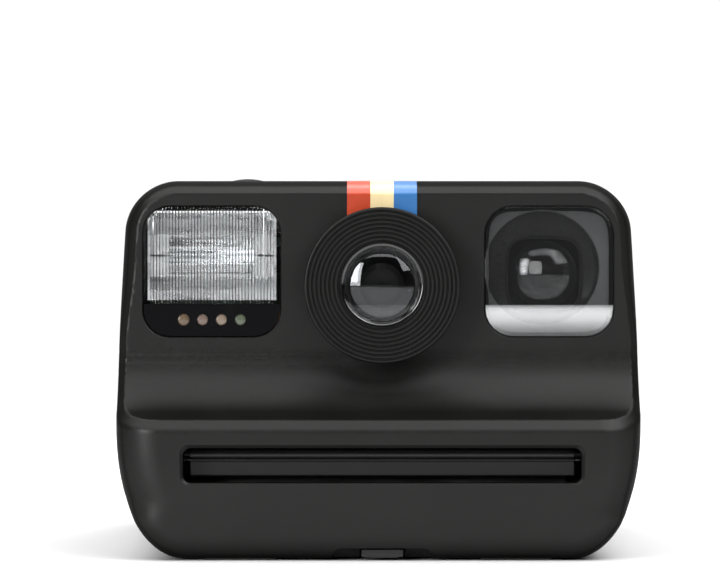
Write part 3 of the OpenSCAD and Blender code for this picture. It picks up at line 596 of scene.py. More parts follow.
def moulded(name, colour, rough=0.5, grain=2600, depth=0.00002, specular=0.5):
    """Moulded plastic with a fine spark-eroded grain and slight cloudiness."""
    mat, tree, bsdf = new_material(name)
    coords = object_coords(tree)
    fine = noise(tree, coords, grain, 2.0)
    broad = noise(tree, coords, 90, 4.0)
    dark = tuple(c * 0.85 for c in colour)
    light = tuple(c * 1.15 for c in colour)
    vary_colour(tree, bsdf, broad, dark, light)
    vary_roughness(tree, bsdf, fine, rough - 0.05, rough + 0.07)
    add_bump(tree, bsdf, fine, 0.5, depth)
    sheen = remap(tree, slant(tree), specular, 0.05 * specular, 0.08, 0.5)
    tree.links.new(sheen, bsdf.inputs["Specular IOR Level"])
    return mat


def polished(name, colour, rough=0.08, coat=0.0, specular=0.5):
    """Gloss plastic or paint with faint handling marks."""
    mat, tree, bsdf = new_material(name)
    smear = noise(tree, object_coords(tree), 300, 5.0, 0.6)
    vary_roughness(tree, bsdf, smear, rough, rough + 0.05)
    vary_colour(tree, bsdf, smear, tuple(c * 0.85 for c in colour), colour)
    put(bsdf, Coat_Weight=coat, Coat_Roughness=0.05, Specular_IOR_Level=specular)
    return mat


def metal(name, colour, rough=0.3, along=(1, 40, 40), depth=0.000004):
    """Bright metal with fine drawn or turned marks."""
    mat, tree, bsdf = new_material(name)
    mapping = tree.nodes.new("ShaderNodeMapping")
    put(mapping, Scale=along)
    tree.links.new(object_coords(tree), mapping.inputs["Vector"])
    marks = noise(tree, mapping.outputs["Vector"], 120, 3.0)
    vary_roughness(tree, bsdf, marks, rough - 0.06, rough + 0.08)
    vary_colour(tree, bsdf, marks, tuple(c * 0.82 for c in colour), colour)
    add_bump(tree, bsdf, marks, 1.0, depth)
    put(bsdf, Metallic=1.0)
    return mat


def clear(name, colour):
    """Clear plastic or glass, very slightly uneven."""
    mat, tree, bsdf = new_material(name)
    waves = noise(tree, object_coords(tree), 60, 1.0)
    vary_roughness(tree, bsdf, waves, 0, 0.01)
    put(bsdf, Base_Color=(*colour, 1), IOR=1.49, Transmission_Weight=1.0)
    return mat


def coated(name, colour, share):
    """A thin clear sheet: it reflects a share of the light, more at a slant."""
    mat, tree, bsdf = new_material(name)
    steep = tree.nodes.new("ShaderNodeMath")
    steep.operation = "POWER"
    steep.inputs[1].default_value = 5
    tree.links.new(slant(tree), steep.inputs[0])
    reach = remap(tree, steep.outputs["Value"], share, 1.0, 0.0, 1.0)
    dust = tree.nodes.new("ShaderNodeMath")
    dust.operation = "MULTIPLY_ADD"
    dust.inputs[1].default_value = 0.01
    tree.links.new(noise(tree, object_coords(tree), 200, 4.0), dust.inputs[0])
    tree.links.new(reach, dust.inputs[2])
    tree.links.new(dust.outputs["Value"], bsdf.inputs["Alpha"])
    put(bsdf, Base_Color=(*colour, 1), Metallic=1.0, Roughness=0.0)
    return mat


def make_materials():
    """Every material, by its slot's name or by a name of its own."""
    mats = {
        "shell_black": moulded("black_moulded", (0.0056, 0.0056, 0.0053), 0.42, specular=0.27),
        "ring": moulded("ring_moulded", (0.004, 0.004, 0.0038), 0.42, specular=0.24, depth=0.000012),
        "inner_black": moulded("inner_black", (0.006, 0.006, 0.006), 0.6, depth=0.00003),
        "shell_grey": moulded("control_grey", (0.02, 0.02, 0.0195), 0.42, specular=0.4),
        "gloss_black": polished("gloss_black", (0.003, 0.003, 0.0035), 0.05, specular=0.15),
        "rim": polished("rim_gloss", (0.003, 0.003, 0.003), 0.1, 1.0, specular=0.6),
        "clear_glass": clear("clear_window", (0.97, 0.98, 0.98)),
        "half_mirror": coated("half_mirror", (0.9, 0.91, 0.92), 0.45),
        "lens_glass": coated("coated_lens", (0.9, 0.92, 0.96), 0.05),
        "ocular": coated("ocular", (0.9, 0.93, 0.95), 0.05),
        "steel": metal("drawn_steel", (0.55, 0.56, 0.58)),
        "roller_steel": metal("ground_steel", (0.3, 0.3, 0.31), 0.35),
        "chrome_face": metal("reflector", (0.96, 0.96, 0.97), 0.26, (1, 4, 4), 0.0000004),
        "ledge": polished("flash_ledge", (0.72, 0.72, 0.73), 0.2),
        "mirror_face": metal("mirror_face", (0.92, 0.92, 0.92), 0.06),
        "brass_pinion": metal("brass", (0.72, 0.52, 0.22), 0.3),
        "copper_coil": metal("enamelled_wire", (0.55, 0.26, 0.12), 0.35, (60, 1, 60)),
        "gear_plastic": moulded("acetal", (0.62, 0.6, 0.53), 0.4),
        "board_green": polished("solder_mask", (0.02, 0.12, 0.05), 0.3),
        "battery_wrap": polished("shrink_wrap", (0.03, 0.05, 0.09), 0.25),
        "foam": moulded("foam", (0.02, 0.02, 0.02), 0.9, 1800, 0.0003),
        "rubber": moulded("rubber", (0.015, 0.015, 0.015), 0.7, 3000, 0.00004),
        "display_grey": polished("display", (0.14, 0.16, 0.15), 0.2),
        "red": polished("band_red", (0.42, 0.045, 0.015), 0.3),
        "cream": polished("band_cream", (0.72, 0.58, 0.32), 0.3),
        "blue": polished("band_blue", (0.03, 0.14, 0.36), 0.3),
        # Painted light: the finder plate is pale grey, far lighter than the black around it, so that it
        # looks lit where little light reaches.
        "plate": moulded("finder_plate_painted_light", (0.34, 0.34, 0.345), 0.35, depth=0.00001),
        "cup": moulded("finder_cup", (0.045, 0.045, 0.046), 0.3, depth=0.00001),
        "finder_lens": coated("finder_lens", (0.92, 0.93, 0.95), 0.25),
        "flap": polished("flap_satin", (0.009, 0.009, 0.009), 0.3, specular=0.35),
        "tube": clear("tube_glass", (0.95, 0.96, 0.98)),
        "port_brown": polished("port_brown", (0.12, 0.085, 0.055), 0.1),
        "port_rose": polished("port_rose", (0.16, 0.115, 0.095), 0.1),
        "port_pale": polished("port_pale", (0.2, 0.155, 0.12), 0.1),
        "port_olive": polished("port_olive", (0.085, 0.1, 0.07), 0.1),
    }
    mats["stripe_paint"] = mats["red"]
    mats["sensor_tints"] = mats["gloss_black"]
    return mats


MATERIALS = make_materials()


def dress_frame():
    """Gives every CAD node the material of its slot."""
    for part in frame["record"]["subparts"]:
        node = frame["nodes"][part["node"]]
        node.data.materials.clear()
        node.data.materials.append(MATERIALS[part["material_slot"]])


# --- The casing ---

SLOT_W = 63.4
SLOT_H = 5.6
SLOT_R = 1.3
SLOT_Z = 15.2
SLOT_BACK = FRONT_Y + 4.4
NOTCH_HALF = 8.0
NOTCH_R = 1.5
COLLAR_EDGE = 1.2
FLASH_CORNER = 4.3
FINDER_CORNER = 4.5
WINDOW_GAP = 0.12
LENS_HOLE_R = 10.2
SEAM_GAP = 0.14
DOOR_GAP = 0.3
BUTTON_FLANGE = 1.0
BUTTON_GAP = 0.35
COUNTER_X = -22.0
COUNTER_S = 14.0
SCREW_X = 36.6
SCREW_Y = 33.0
SCREW_BORE_R = 1.8
POCKET_DEPTH = 4.6
CUP_DEPTH = 6.9
CUP_HALF = 5.4
CUP_EDGE = 1.4
FLASH_X = centre_mm("flash_window")[0]
FLASH_W = window_high[0] - window_low[0]
FINDER_X = centre_mm("finder_window")[0]
FINDER_W = finder_high[0] - finder_low[0]
WINDOW_H = window_high[2] - panel_low[2]
WINDOW_Z = (window_high[2] + panel_low[2]) / 2
RING_R = (ring_high[0] - ring_low[0]) / 2


def piece_of(outer, inner, name, low, high):
    """The part of the hollow casing that lies in a box."""
    obj = outer.copy()
    obj.data = outer.data.copy()
    obj.name = name
    bpy.context.scene.collection.objects.link(obj)
    boolean(obj, block("bounds", low, high), "INTERSECT")
    boolean(obj, inner, keep_tool=True)
    return obj


def door_opening():
    low, high = box_mm("film_door")
    far = (high[0] + DOOR_GAP, high[1] + 0.4, 6)
    return block("door_opening", (low[0] - DOOR_GAP, low[1] - DOOR_GAP, -1), far)


def front_cover(outer, inner):
    """Front shell with its slot, window openings, lens hole and latch notch."""
    cover = piece_of(outer, inner, "front_cover_skin", (-50, -60, -5), (50, SEAM_Y - SEAM_GAP, 70))
    collar = rounded(SLOT_W + 2 * COLLAR_EDGE, SLOT_H + 2 * COLLAR_EDGE, SLOT_R, SLOT_R)
    collar = placed(collar, LENS_X, SLOT_Z)
    boolean(cover, prism("collar", "Y", collar, FRONT_Y + 1, SLOT_BACK), "UNION")
    slot = placed(rounded(SLOT_W, SLOT_H, SLOT_R, SLOT_R), LENS_X, SLOT_Z)
    boolean(cover, prism("slot", "Y", slot, FRONT_Y - 0.25, FRONT_Y + 6, 0.25))
    for x, w, r in ((FLASH_X, FLASH_W, FLASH_CORNER), (FINDER_X, FINDER_W, FINDER_CORNER)):
        opening = rounded(w + 2 * WINDOW_GAP, WINDOW_H + 2 * WINDOW_GAP, r, r)
        opening = placed(opening, x, WINDOW_Z)
        boolean(cover, prism("opening", "Y", opening, FACE_Y - 0.1, FACE_Y + 3, 0.1))
    hole = placed(arc(0, 0, LENS_HOLE_R, 0, 357, 119), LENS_X, LENS_Z)
    boolean(cover, prism("hole", "Y", hole, FACE_Y - 1, FACE_Y + 3))
    inset = NOTCH_HALF - NOTCH_R
    notch = [(-NOTCH_HALF, -1), (NOTCH_HALF, -1)]
    notch += arc(inset, 0.5, NOTCH_R, 0, 90, 8) + arc(-inset, 0.5, NOTCH_R, 90, 180, 8)
    boolean(cover, prism("notch", "Y", placed(notch, LENS_X, 0), FRONT_Y - 1, FRONT_Y + 7))
    boolean(cover, door_opening())
    smooth(cover)
    skin_normals(cover)
    dress(cover, "shell_black", "front_cover")


def on_slope(x, along, out):
    """A point measured down the rear slope from the crest, and outwards from it."""
    c, s = math.cos(SLOPE), math.sin(SLOPE)
    start_y = CREST[0] + CREST_R * s
    start_z = CREST[1] + CREST_R * c
    return (x, start_y + along * c + out * s, start_z - along * s + out * c)


def slope_prism(name, outline, bottom, top, rim):
    """A prism standing on the rear slope, opened out by a chamfer at its top."""
    rings = []
    for out, grow in ((bottom, 0), (top - 3 * rim, 0), (top - 2 * rim, rim), (top, 3 * rim)):
        rings.append([on_slope(x, along, out) for x, along in grown(outline, grow)])
    return loft(name, rings)


def body_shell(outer, inner):
    """Rear shell with strap pockets and holes for buttons, socket, counter, eyepiece and screws."""
    shell = piece_of(outer, inner, "body_shell_skin", (-50, SEAM_Y, -5), (50, 60, 70))
    bars_low, bars_high = box_mm("strap_bars")
    _, bar_y, bar_z = centre_mm("strap_bars")
    for side in (-1, 1):
        cup_x = sorted((side * (HALF_W - CUP_DEPTH), side * (HALF_W - 1)))
        cup_low = (cup_x[0], bar_y - CUP_HALF, bars_low[2] - CUP_EDGE)
        cup_high = (cup_x[1], bar_y + CUP_HALF, bars_high[2] + CUP_EDGE)
        boolean(shell, block("cup", cup_low, cup_high), "UNION")
        pocket = placed(rounded(8, 10, 1.6, 1.6), bar_y, bar_z)
        pocket_x = sorted((side * (HALF_W - POCKET_DEPTH), side * (HALF_W + 0.4)))
        boolean(shell, prism("pocket", "X", pocket, *pocket_x, 0.3, at_start=side < 0))
    for node in ("shutter_button", "power_button", "flash_button"):
        low, high = box_mm(node)
        x, y, _ = centre_mm(node)
        r = (high[0] - low[0]) / 2 - BUTTON_FLANGE + BUTTON_GAP
        hole = placed(arc(0, 0, r, 0, 354, 59), x, y)
        boolean(shell, prism("hole", "Z", hole, TOP_Z - 3, TOP_Z + 0.3, 0.2, at_start=False))
    _, y, z = centre_mm("usb_socket")
    socket = placed(rounded(8.8, 3.8, 1.89, 1.89), y, z)
    boolean(shell, prism("socket", "X", socket, -HALF_W - 0.3, -HALF_W + 5, 0.2))
    eye = placed(rounded(13.6, 9.6, 1.6, 1.6), EYE_X, EYE_Z)
    boolean(shell, prism("eye", "Y", eye, 12, HUMP_BACK + 0.45, 0.3, at_start=False))
    window = placed(rounded(10.2, 7.2, 1.0, 1.0), COUNTER_X, COUNTER_S)
    boolean(shell, slope_prism("counter", window, -4, 0.3, 0.2))
    for x in (-SCREW_X, SCREW_X):
        for y in (-SCREW_Y, SCREW_Y):
            bore = placed(arc(0, 0, SCREW_BORE_R, 0, 352, 44), x, y)
            boolean(shell, prism("bore", "Z", bore, -1, 6.6))
    boolean(shell, door_opening())
    smooth(shell)
    skin_normals(shell)
    dress(shell, "shell_black", "body_shell")


def hinge_lugs():
    """The two lugs that carry the door's pin."""
    low, high = box_mm("door_hinge_pin")
    _, y, z = centre_mm("door_hinge_pin")
    outline = arc(y, z, 2.2, 90, 270, 16) + [(y + 3.6, z - 2.2), (y + 3.6, z + 4.4), (y, z + 4.4)]
    for name, x in (("hinge_lug_left", low[0] + 1), ("hinge_lug_right", high[0] - 1)):
        lug = prism(name, "X", outline, x - 1, x + 1)
        dress(lug, "shell_black", angle=30)


# --- Accent stripe ---

BAND_PROUD = 0.035
BAND_SUNK = 0.06


def skin_line(x, steps=900):
    """Points of the casing's surface at one X, from the lens over the top edge."""
    centre = np.array([FACE_Y + 12, 48.0])
    angles = np.radians(np.linspace(155, 22, steps))
    rays = np.stack([np.cos(angles), np.sin(angles)], 1)
    near = np.full(steps, 2.0)
    far = np.full(steps, 40.0)
    for _ in range(30):
        mid = (near + far) / 2
        at = centre + rays * mid[:, None]
        d = casing_distance(np.column_stack([np.full(steps, x), at]))
        near = np.where(d < 0, mid, near)
        far = np.where(d < 0, far, mid)
    return centre + rays * near[:, None]


def ribbon(name, x0, x1, line, look):
    """A thin printed band on the casing, just proud of it."""
    tangent = np.gradient(line, axis=0)
    tangent /= np.linalg.norm(tangent, axis=1)[:, None]
    normal = np.column_stack([-tangent[:, 1], tangent[:, 0]])
    rings = []
    for (y, z), (ny, nz) in zip(line, normal):
        low = (y - ny * BAND_SUNK, z - nz * BAND_SUNK)
        top = (y + ny * BAND_PROUD, z + nz * BAND_PROUD)
        rings.append([(x0, *low), (x0, *top), (x1, *top), (x1, *low)])
    band = loft(name, rings)
    dress(band, "stripe_paint", look=look, angle=30)


def accent_stripe():
    """Three bands side by side, each split where the two shells meet."""
    line = skin_line(LENS_X)
    ring_top = math.sqrt(RING_R**2 - ((stripe_high[0] - stripe_low[0]) / 2) ** 2)
    line = line[(line[:, 1] > LENS_Z + ring_top - 0.3) & (line[:, 0] < stripe_high[1])]
    front = line[line[:, 0] < SEAM_Y - SEAM_GAP]
    back = line[line[:, 0] > SEAM_Y]
    width = (stripe_high[0] - stripe_low[0]) / 3
    for i, key in enumerate(("red", "cream", "blue")):
        x0 = stripe_low[0] + i * width
        for half, points in (("front", front[::4]), ("top", back[::8])):
            ribbon(f"stripe_{key}_{half}", x0, x0 + width, points, key)
    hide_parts("accent_stripe")


# --- Lens ---

RING_FRONT = ring_low[1]
GLASS_R = 5.8
GROOVES = 8
GROOVE_PITCH = 0.689
GROOVE_START = 7.06


def lens_ring():
    """Ring with shallow concentric grooves in its face."""
    f = RING_FRONT
    profile = [(6.76, f + 3.4), (6.76, f + 0.16), (6.86, f + 0.03)]
    for i in range(GROOVES):
        r = GROOVE_START + i * GROOVE_PITCH
        profile += [(r - 0.17, f + 0.02), (r - 0.05, f + 0.2)]
        profile += [(r + 0.05, f + 0.2), (r + 0.17, f + 0.03)]
        if i < GROOVES - 1:
            profile += [(r + GROOVE_PITCH / 2, f)]
    soft = 0.32
    profile.append((RING_R - soft, f))
    for a in np.radians([22, 45, 68, 90]):
        profile.append((RING_R - soft + soft * math.sin(a), f + soft - soft * math.cos(a)))
    profile += [(RING_R, FACE_Y - 0.22), (RING_R - 0.15, FACE_Y - 0.05), (9.9, FACE_Y - 0.05)]
    profile += [(9.9, FACE_Y + 2), (7.4, FACE_Y + 2), (7.4, f + 3.4)]
    ring = lathe("lens_ring_turned", profile, (LENS_X, 0, LENS_Z), "Y", 192, closed=True)
    dress(ring, "shell_grey", "lens_ring", look="ring", angle=28)


def lens_rim():
    """Polished bezel that slopes in to the front glass."""
    f = RING_FRONT
    profile = [(GLASS_R, f + 3.3), (GLASS_R, f + 1.0), (GLASS_R + 0.1, f + 0.86), (6.2, f + 0.6)]
    profile += [(6.3, f + 0.46), (6.42, f + 0.38), (6.55, f + 0.36), (6.74, f + 0.36), (6.74, f + 3.3)]
    rim = lathe("lens_rim_turned", profile, (LENS_X, 0, LENS_Z), "Y", closed=True)
    dress(rim, "gloss_black", "lens_rim", look="rim", angle=50)


def dome(name, centre, front, back, r, bulge, steps=96):
    """A plano-convex lens facing the front; bulge is its radius of curvature."""
    full = math.sin(math.radians(80))
    radii = [r * math.sin(t) / full for t in np.radians(np.linspace(0, 80, 18))]
    profile = [(q, front + bulge - math.sqrt(bulge**2 - q**2)) for q in radii]
    profile += [(r, back), (0, back)]
    lens = lathe(name, profile, (centre[0], 0, centre[1]), "Y", steps)
    smooth(lens, 40)
    return lens


def front_lens():
    f = RING_FRONT
    lens = dome("front_lens_glass", (LENS_X, LENS_Z), f + 0.5, f + 2.9, GLASS_R - 0.02, 12.5)
    dress(lens, "lens_glass", "front_lens")


# --- Flash ---

RIB_PITCH = 0.51
RIB_DEPTH = 0.145
FLASH_Z = 48.6
REFLECTOR_HALF = 7.2
RAIL_Z = 3.1
HOLDER_W = 2.6
HOLDER_GAP = 0.2


def flash_window():
    """Clear cover with upright ribs moulded on its inner face."""
    thick = window_high[1] - window_low[1]
    edge = FLASH_W / 2 - 1.0
    count = int(2 * edge / RIB_PITCH)
    start = FLASH_X - count * RIB_PITCH / 2
    back = window_high[1]
    profile = [(FLASH_X - FLASH_W / 2 - 1, back)]
    for i in range(count):
        for k in range(6):
            t = k / 6
            bulge = math.sqrt(max(0.0, 1 - (2 * t - 1) ** 2))
            profile.append((start + (i + t) * RIB_PITCH, back - RIB_DEPTH + RIB_DEPTH * bulge))
    profile += [(start + count * RIB_PITCH, back - RIB_DEPTH), (FLASH_X + FLASH_W / 2 + 1, back)]
    profile += [(FLASH_X + FLASH_W / 2 + 1, back - thick), (FLASH_X - FLASH_W / 2 - 1, back - thick)]
    sheet = prism("flash_window_ribbed", "Z", profile, window_low[2], window_high[2] + 1)
    corner = placed(rounded(FLASH_W - 0.04, WINDOW_H, 4.2, 4.2), FLASH_X, WINDOW_Z)
    boolean(sheet, prism("outline", "Y", corner, window_low[1] - 1, window_high[1] + 1), "INTERSECT")
    dress(sheet, "clear_glass", "flash_window", angle=40)


def flash_reflector():
    """Polished trough with a deeper channel for the tube, and its end plates."""
    low, high = box_mm("flash_reflector")
    y = low[1]
    trough = [(0.1, 6.9), (1.8, 5.2), (3.2, 3.15), (3.4, 3.0), (5.4, 2.6), (6.6, 1.5), (7.0, 0)]
    bottom, top = FLASH_Z - REFLECTOR_HALF, FLASH_Z + REFLECTOR_HALF
    outline = [(y, top)] + [(y + d, FLASH_Z + h) for d, h in trough]
    outline += [(y + d, FLASH_Z - h) for d, h in reversed(trough[:-1])]
    outline += [(y, bottom), (high[1], bottom), (high[1], top)]
    body = prism("flash_reflector_trough", "X", outline, low[0] + 0.4, high[0] - 0.4)
    dress(body, "chrome_face", "flash_reflector", angle=25)
    for name, x in (("flash_end_left", low[0]), ("flash_end_right", high[0] - 0.4)):
        plate = block(name, (x, y, bottom), (x + 0.4, high[1], top))
        dress(plate, "chrome_face")


def flash_holders():
    """Two rails beside the tube and a split holder at each of its ends."""
    low, high = box_mm("flash_reflector")
    y = low[1] + 1.1
    tall = RAIL_Z - HOLDER_GAP
    for side, x in (("left", low[0] + 0.5), ("right", high[0] - 0.5 - HOLDER_W)):
        for level, z in (("low", FLASH_Z - RAIL_Z), ("high", FLASH_Z + HOLDER_GAP)):
            outline = placed(rounded(HOLDER_W, tall, 0.5, 0.5), x + HOLDER_W / 2, z + tall / 2)
            holder = prism(f"tube_holder_{side}_{level}", "Y", outline, y, y + 1.2, 0.12)
            dress(holder, "chrome_face", look="ledge", angle=30)
    for level, z in (("low", FLASH_Z - RAIL_Z - 0.2), ("high", FLASH_Z + RAIL_Z)):
        far = (high[0] - 0.4, y + 1.2, z + 0.2)
        rail = block(f"flash_rail_{level}", (low[0] + 0.4, y - 0.3, z), far)
        dress(rail, "chrome_face", look="ledge")


def flash_tube():
    """Glass tube with a dark cap over each end."""
    low, high = box_mm("flash_tube")
    centre = (0, *centre_mm("flash_tube")[1:])
    x0, x1 = low[0] + 1.8, high[0] - 1.8
    glass = [(0, x0), (0.9, x0), (1.15, low[0] + 2.3), (1.15, high[0] - 2.3), (0.9, x1), (0, x1)]
    tube = lathe("flash_tube_glass", glass, centre, "X", 32)
    dress(tube, "clear_glass", "flash_tube", look="tube", angle=40)
    left, right = low[0] + 0.5, high[0] - 3.2
    for name, x0, x1 in (("tube_end_left", left, low[0] + 3.2), ("tube_end_right", right, high[0] - 0.5)):
        cap = [(0, x0), (0.7, x0), (0.85, x0 + 0.2), (0.85, x1 - 0.2), (0.7, x1), (0, x1)]
        end = lathe(name, cap, centre, "X", 24)
        dress(end, "gloss_black", angle=40)


PORTS = (
    (-31.4, 1.0, "port_brown"),
    (-28.35, 0.92, "port_rose"),
    (-25.3, 0.92, "port_pale"),
    (-22.25, 0.92, "port_olive"),
)


def sensor_ports():
    """Four tinted domes in the dark strip, each with its own colour."""
    z = centre_mm("sensor_lenses")[2]
    back = box_mm("sensor_lenses")[1][1]
    for i, (x, r, key) in enumerate(PORTS):
        lens = dome(f"sensor_port_{i + 1}", (x, z), FACE_Y + 0.12, back, r - 0.03, 2.6, 48)
        stands_for = ("sensor_lenses",) if i == 0 else ()
        dress(lens, "sensor_tints", *stands_for, look=key)


# --- Viewfinder ---

CUP_R = 9.25
FINDER_LENS_X = 26.9
FINDER_LENS_Z = 45.6
STOP_X = 28.0
STOP_Z = 46.9
CONE_RINGS = (
    (1.95, 12.5, 12.4),
    (1.72, 12.2, 12.1),
    (1.72, 11.9, 11.8),
    (1.85, 11.7, 11.6),
    (4.4, 11.5, 11.4),
    (4.4, 16.0, 16.0),
)


TURN = np.linspace(0, 2 * math.pi, 96, endpoint=False)


def circle(cx, cz, y, r):
    return [(cx + r * math.cos(a), y, cz + r * math.sin(a)) for a in TURN]


def squircle(cx, cz, y, w, h, power):
    """A ring between a rectangle and an ellipse; squarer as the power rises."""
    ring = []
    for a in TURN:
        c, s = math.cos(a), math.sin(a)
        k = (abs(c / w * 2) ** power + abs(s / h * 2) ** power) ** (-1 / power)
        ring.append((cx + k * c, y, cz + k * s))
    return ring


def hoop(name, rings):
    """A closed tube of rings, the last joined to the first."""
    count = len(rings)
    verts = [p for ring in rings for p in ring]
    faces = ring_faces(len(rings[0]), [(r, (r + 1) % count) for r in range(count)])
    return closed_mesh(name, verts, faces)


def finder_cup():
    """Plate behind the window in a pale grey that is painted light, a dark cone in it, and the square
    lens frame.
    """
    f = finder_high[1]
    cx, cz = FINDER_LENS_X, FINDER_LENS_Z
    cup = (cx - 0.4, cz + 1.0)
    plate = hoop("finder_plate_painted_light", [
        squircle(FINDER_X, WINDOW_Z, f + 0.9, 19.4, 19.6, 6),
        squircle(FINDER_X, WINDOW_Z, f + 0.2, 19.4, 19.6, 6),
        circle(*cup, f + 0.2, CUP_R + 0.12),
        circle(*cup, f + 0.32, CUP_R),
        circle(*cup, f + 0.9, CUP_R),
    ])
    dress(plate, "inner_black", "finder_objective", look="plate", angle=30)
    rings = [
        circle(*cup, f + 0.9, CUP_R + 0.4),
        circle(*cup, f + 0.75, CUP_R - 0.02),
        circle(cx - 0.3, cz + 0.7, f + 1.5, CUP_R - 0.7),
    ]
    for depth, w, h in CONE_RINGS:
        rings.append(squircle(cx, cz, f + depth, w, h, 4.2))
    cone = hoop("finder_cone", rings)
    dress(cone, "inner_black", look="cup", angle=30)
    frame_piece = hoop("finder_lens_frame", [
        squircle(cx, cz, f + 4.0, 11.6, 11.5, 4.2),
        circle(cx, cz, f + 3.9, 5.42),
        circle(cx, cz, f + 6.5, 5.42),
        squircle(cx, cz, f + 6.5, 11.6, 11.5, 4.2),
    ])
    dress(frame_piece, "gloss_black", angle=30)


def finder_tunnel():
    """Dark tube from the front lens to the eyepiece."""
    cz = centre_mm("finder_tunnel")[2]
    start, end = finder_high[1] + 4.5, box_mm("finder_tunnel")[1][1]
    stations = ((start, 17.4, 16.6), (start, 15.4, 14.6), (end, 11.6, 11.0), (end, 14.4, 13.8))
    tube = hoop("finder_tube", [squircle(EYE_X, cz, y, w, h, 9) for y, w, h in stations])
    dress(tube, "inner_black", "finder_tunnel", angle=30)


def finder_lens():
    """The small strongly curved lens in the frame."""
    f = finder_high[1]
    lens = dome("finder_lens_glass", (FINDER_LENS_X, FINDER_LENS_Z), f + 1.75, f + 6.2, 5.4, 8.6)
    dress(lens, "lens_glass", "finder_lens", look="finder_lens")


def field_stop():
    """Plate in the rear of the viewfinder's tunnel with a small rounded opening."""
    y = box_mm("finder_tunnel")[1][1] - 1.4
    edge = (11.9, 11.3, 9)
    hole = (2.3, 2.3, 5)
    stop = hoop("field_stop", [
        squircle(EYE_X, FINDER_LENS_Z + 1.2, y, *edge),
        squircle(STOP_X, STOP_Z, y, *hole),
        squircle(STOP_X, STOP_Z, y + 0.4, *hole),
        squircle(EYE_X, FINDER_LENS_Z + 1.2, y + 0.4, *edge),
    ])
    dress(stop, "inner_black", angle=30)


# --- Exit flap ---

FLAP_Y = -47.0
FLAP_Z = 16.8


def exit_flap():
    """Hinged leaf in the slot: a barrel along its top edge, a groove, a flat leaf."""
    low, high = box_mm("exit_flap")
    y, z = FLAP_Y, FLAP_Z
    r = high[2] - z
    turn = np.radians(np.linspace(-90, 150, 25))
    outline = [(y - math.sin(a) * r, z + math.cos(a) * r) for a in turn]
    outline += [(y - 0.22, z - r * 0.95), (y - 0.22, z - r - 0.18), (y - 0.42, z - r - 0.3)]
    outline += [(y - 0.42, low[2] + 0.2), (y - 0.25, low[2])]
    outline += [(y + 0.5, low[2]), (y + 0.5, z - r * 0.5)]
    flap = prism("exit_flap_leaf", "X", outline, low[0], high[0])
    dress(flap, "inner_black", "exit_flap", look="flap", body="exit_flap", angle=35)


def exit_flap_pin():
    """Pin through the flap's barrel and the two brackets that hold it."""
    low, high = box_mm("exit_flap_pin")
    rod = [(0, low[0]), (0.36, low[0]), (0.4, low[0] + 0.1)]
    rod += [(0.4, high[0] - 0.1), (0.36, high[0]), (0, high[0])]
    pin = lathe("exit_flap_rod", rod, (0, FLAP_Y, FLAP_Z), "X", 24)
    dress(pin, "inner_black", "exit_flap_pin", angle=40)
    foot = FLAP_Z - 0.9
    outline = [(low[1], foot), (high[1] - 0.4, foot), (high[1], FLAP_Z - 0.5)]
    outline += [(high[1], high[2]), (low[1], high[2])]
    for name, x in (("flap_bracket_left", low[0] + 0.1), ("flap_bracket_right", high[0] - 1.1)):
        bracket = prism(name, "X", outline, x, x + 1)
        dress(bracket, "inner_black")


# --- Controls, door and eyepiece ---


def buttons():
    """Domed caps with a soft edge on their stems."""
    for node, dome_r in (("shutter_button", 10), ("power_button", 14), ("flash_button", 14)):
        low, high = box_mm(node)
        x, y, _ = centre_mm(node)
        top = high[2]
        r = (high[0] - low[0]) / 2 - BUTTON_FLANGE
        wide = r + BUTTON_FLANGE
        flange = TOP_Z - WALL - 1.3
        under = flange - 1.1
        profile = [(0, low[2]), (1, low[2]), (1, under), (wide, under), (wide, flange), (r, flange)]
        edge = top - dome_r + math.sqrt(dome_r**2 - r**2)
        profile += [(r, edge - 0.25), (r - 0.06, edge - 0.06)]
        for q in np.linspace(r - 0.25, 0, 12):
            profile.append((q, top - dome_r + math.sqrt(dome_r**2 - q**2)))
        cap = lathe(f"{node}_cap", profile, (x, y, 0), "Z", 96)
        dress(cap, "shell_grey", node, body=node, angle=32)


def film_door():
    """Door leaf with a shallow recessed panel, edge radii and a ribbed grip."""
    low, high = box_mm("film_door")
    rear = 39.0
    z0 = PAD_H
    z1 = z0 + 1.6
    leaf = rounded(high[0] - low[0], rear - low[1], 0.5, 2.2)
    leaf = placed(leaf, (low[0] + high[0]) / 2, (low[1] + rear) / 2)
    door = prism("film_door_leaf", "Z", leaf, z0, z1)
    well = placed(rounded(52, 60, 4, 4, 10), 0, -3)
    boolean(door, prism("well", "Z", well, z0 - 1, z0 + 0.35, 0.12, at_start=False))
    inner_field = placed(rounded(49.6, 57.6, 3, 3, 10), 0, -3)
    boolean(door, prism("field", "Z", inner_field, z0 + 0.02, z0 + 0.6), "UNION")
    for i in range(5):
        y = low[1] + 9 + i * 1.5
        groove = placed(rounded(15, 0.7, 0.34, 0.34), LENS_X, y)
        boolean(door, prism("groove", "Z", groove, z0 - 1, z0 + 0.3))
    x0, x1 = LENS_X - 3.65, LENS_X + 3.65
    y0, y1 = low[1] - 1, low[1] + 3.5
    slot = [(x0, y0), (x1, y0), (x1, y1), (x0, y1)]
    boolean(door, prism("slot", "Z", slot, -1, 2.2))
    hinge_low, hinge_high = box_mm("door_hinge_pin")
    _, y, z = centre_mm("door_hinge_pin")
    tail = [(rear - 1, z0), (y, z0)] + arc(y, z, z - z0, -90, 100, 20)
    tail += [(y - 2.2, z1), (rear - 1, z1)]
    boolean(door, prism("tail", "X", tail, hinge_low[0] + 2.3, hinge_high[0] - 2.3), "UNION")
    dress(door, "shell_black", "film_door", body="film_door", angle=32)


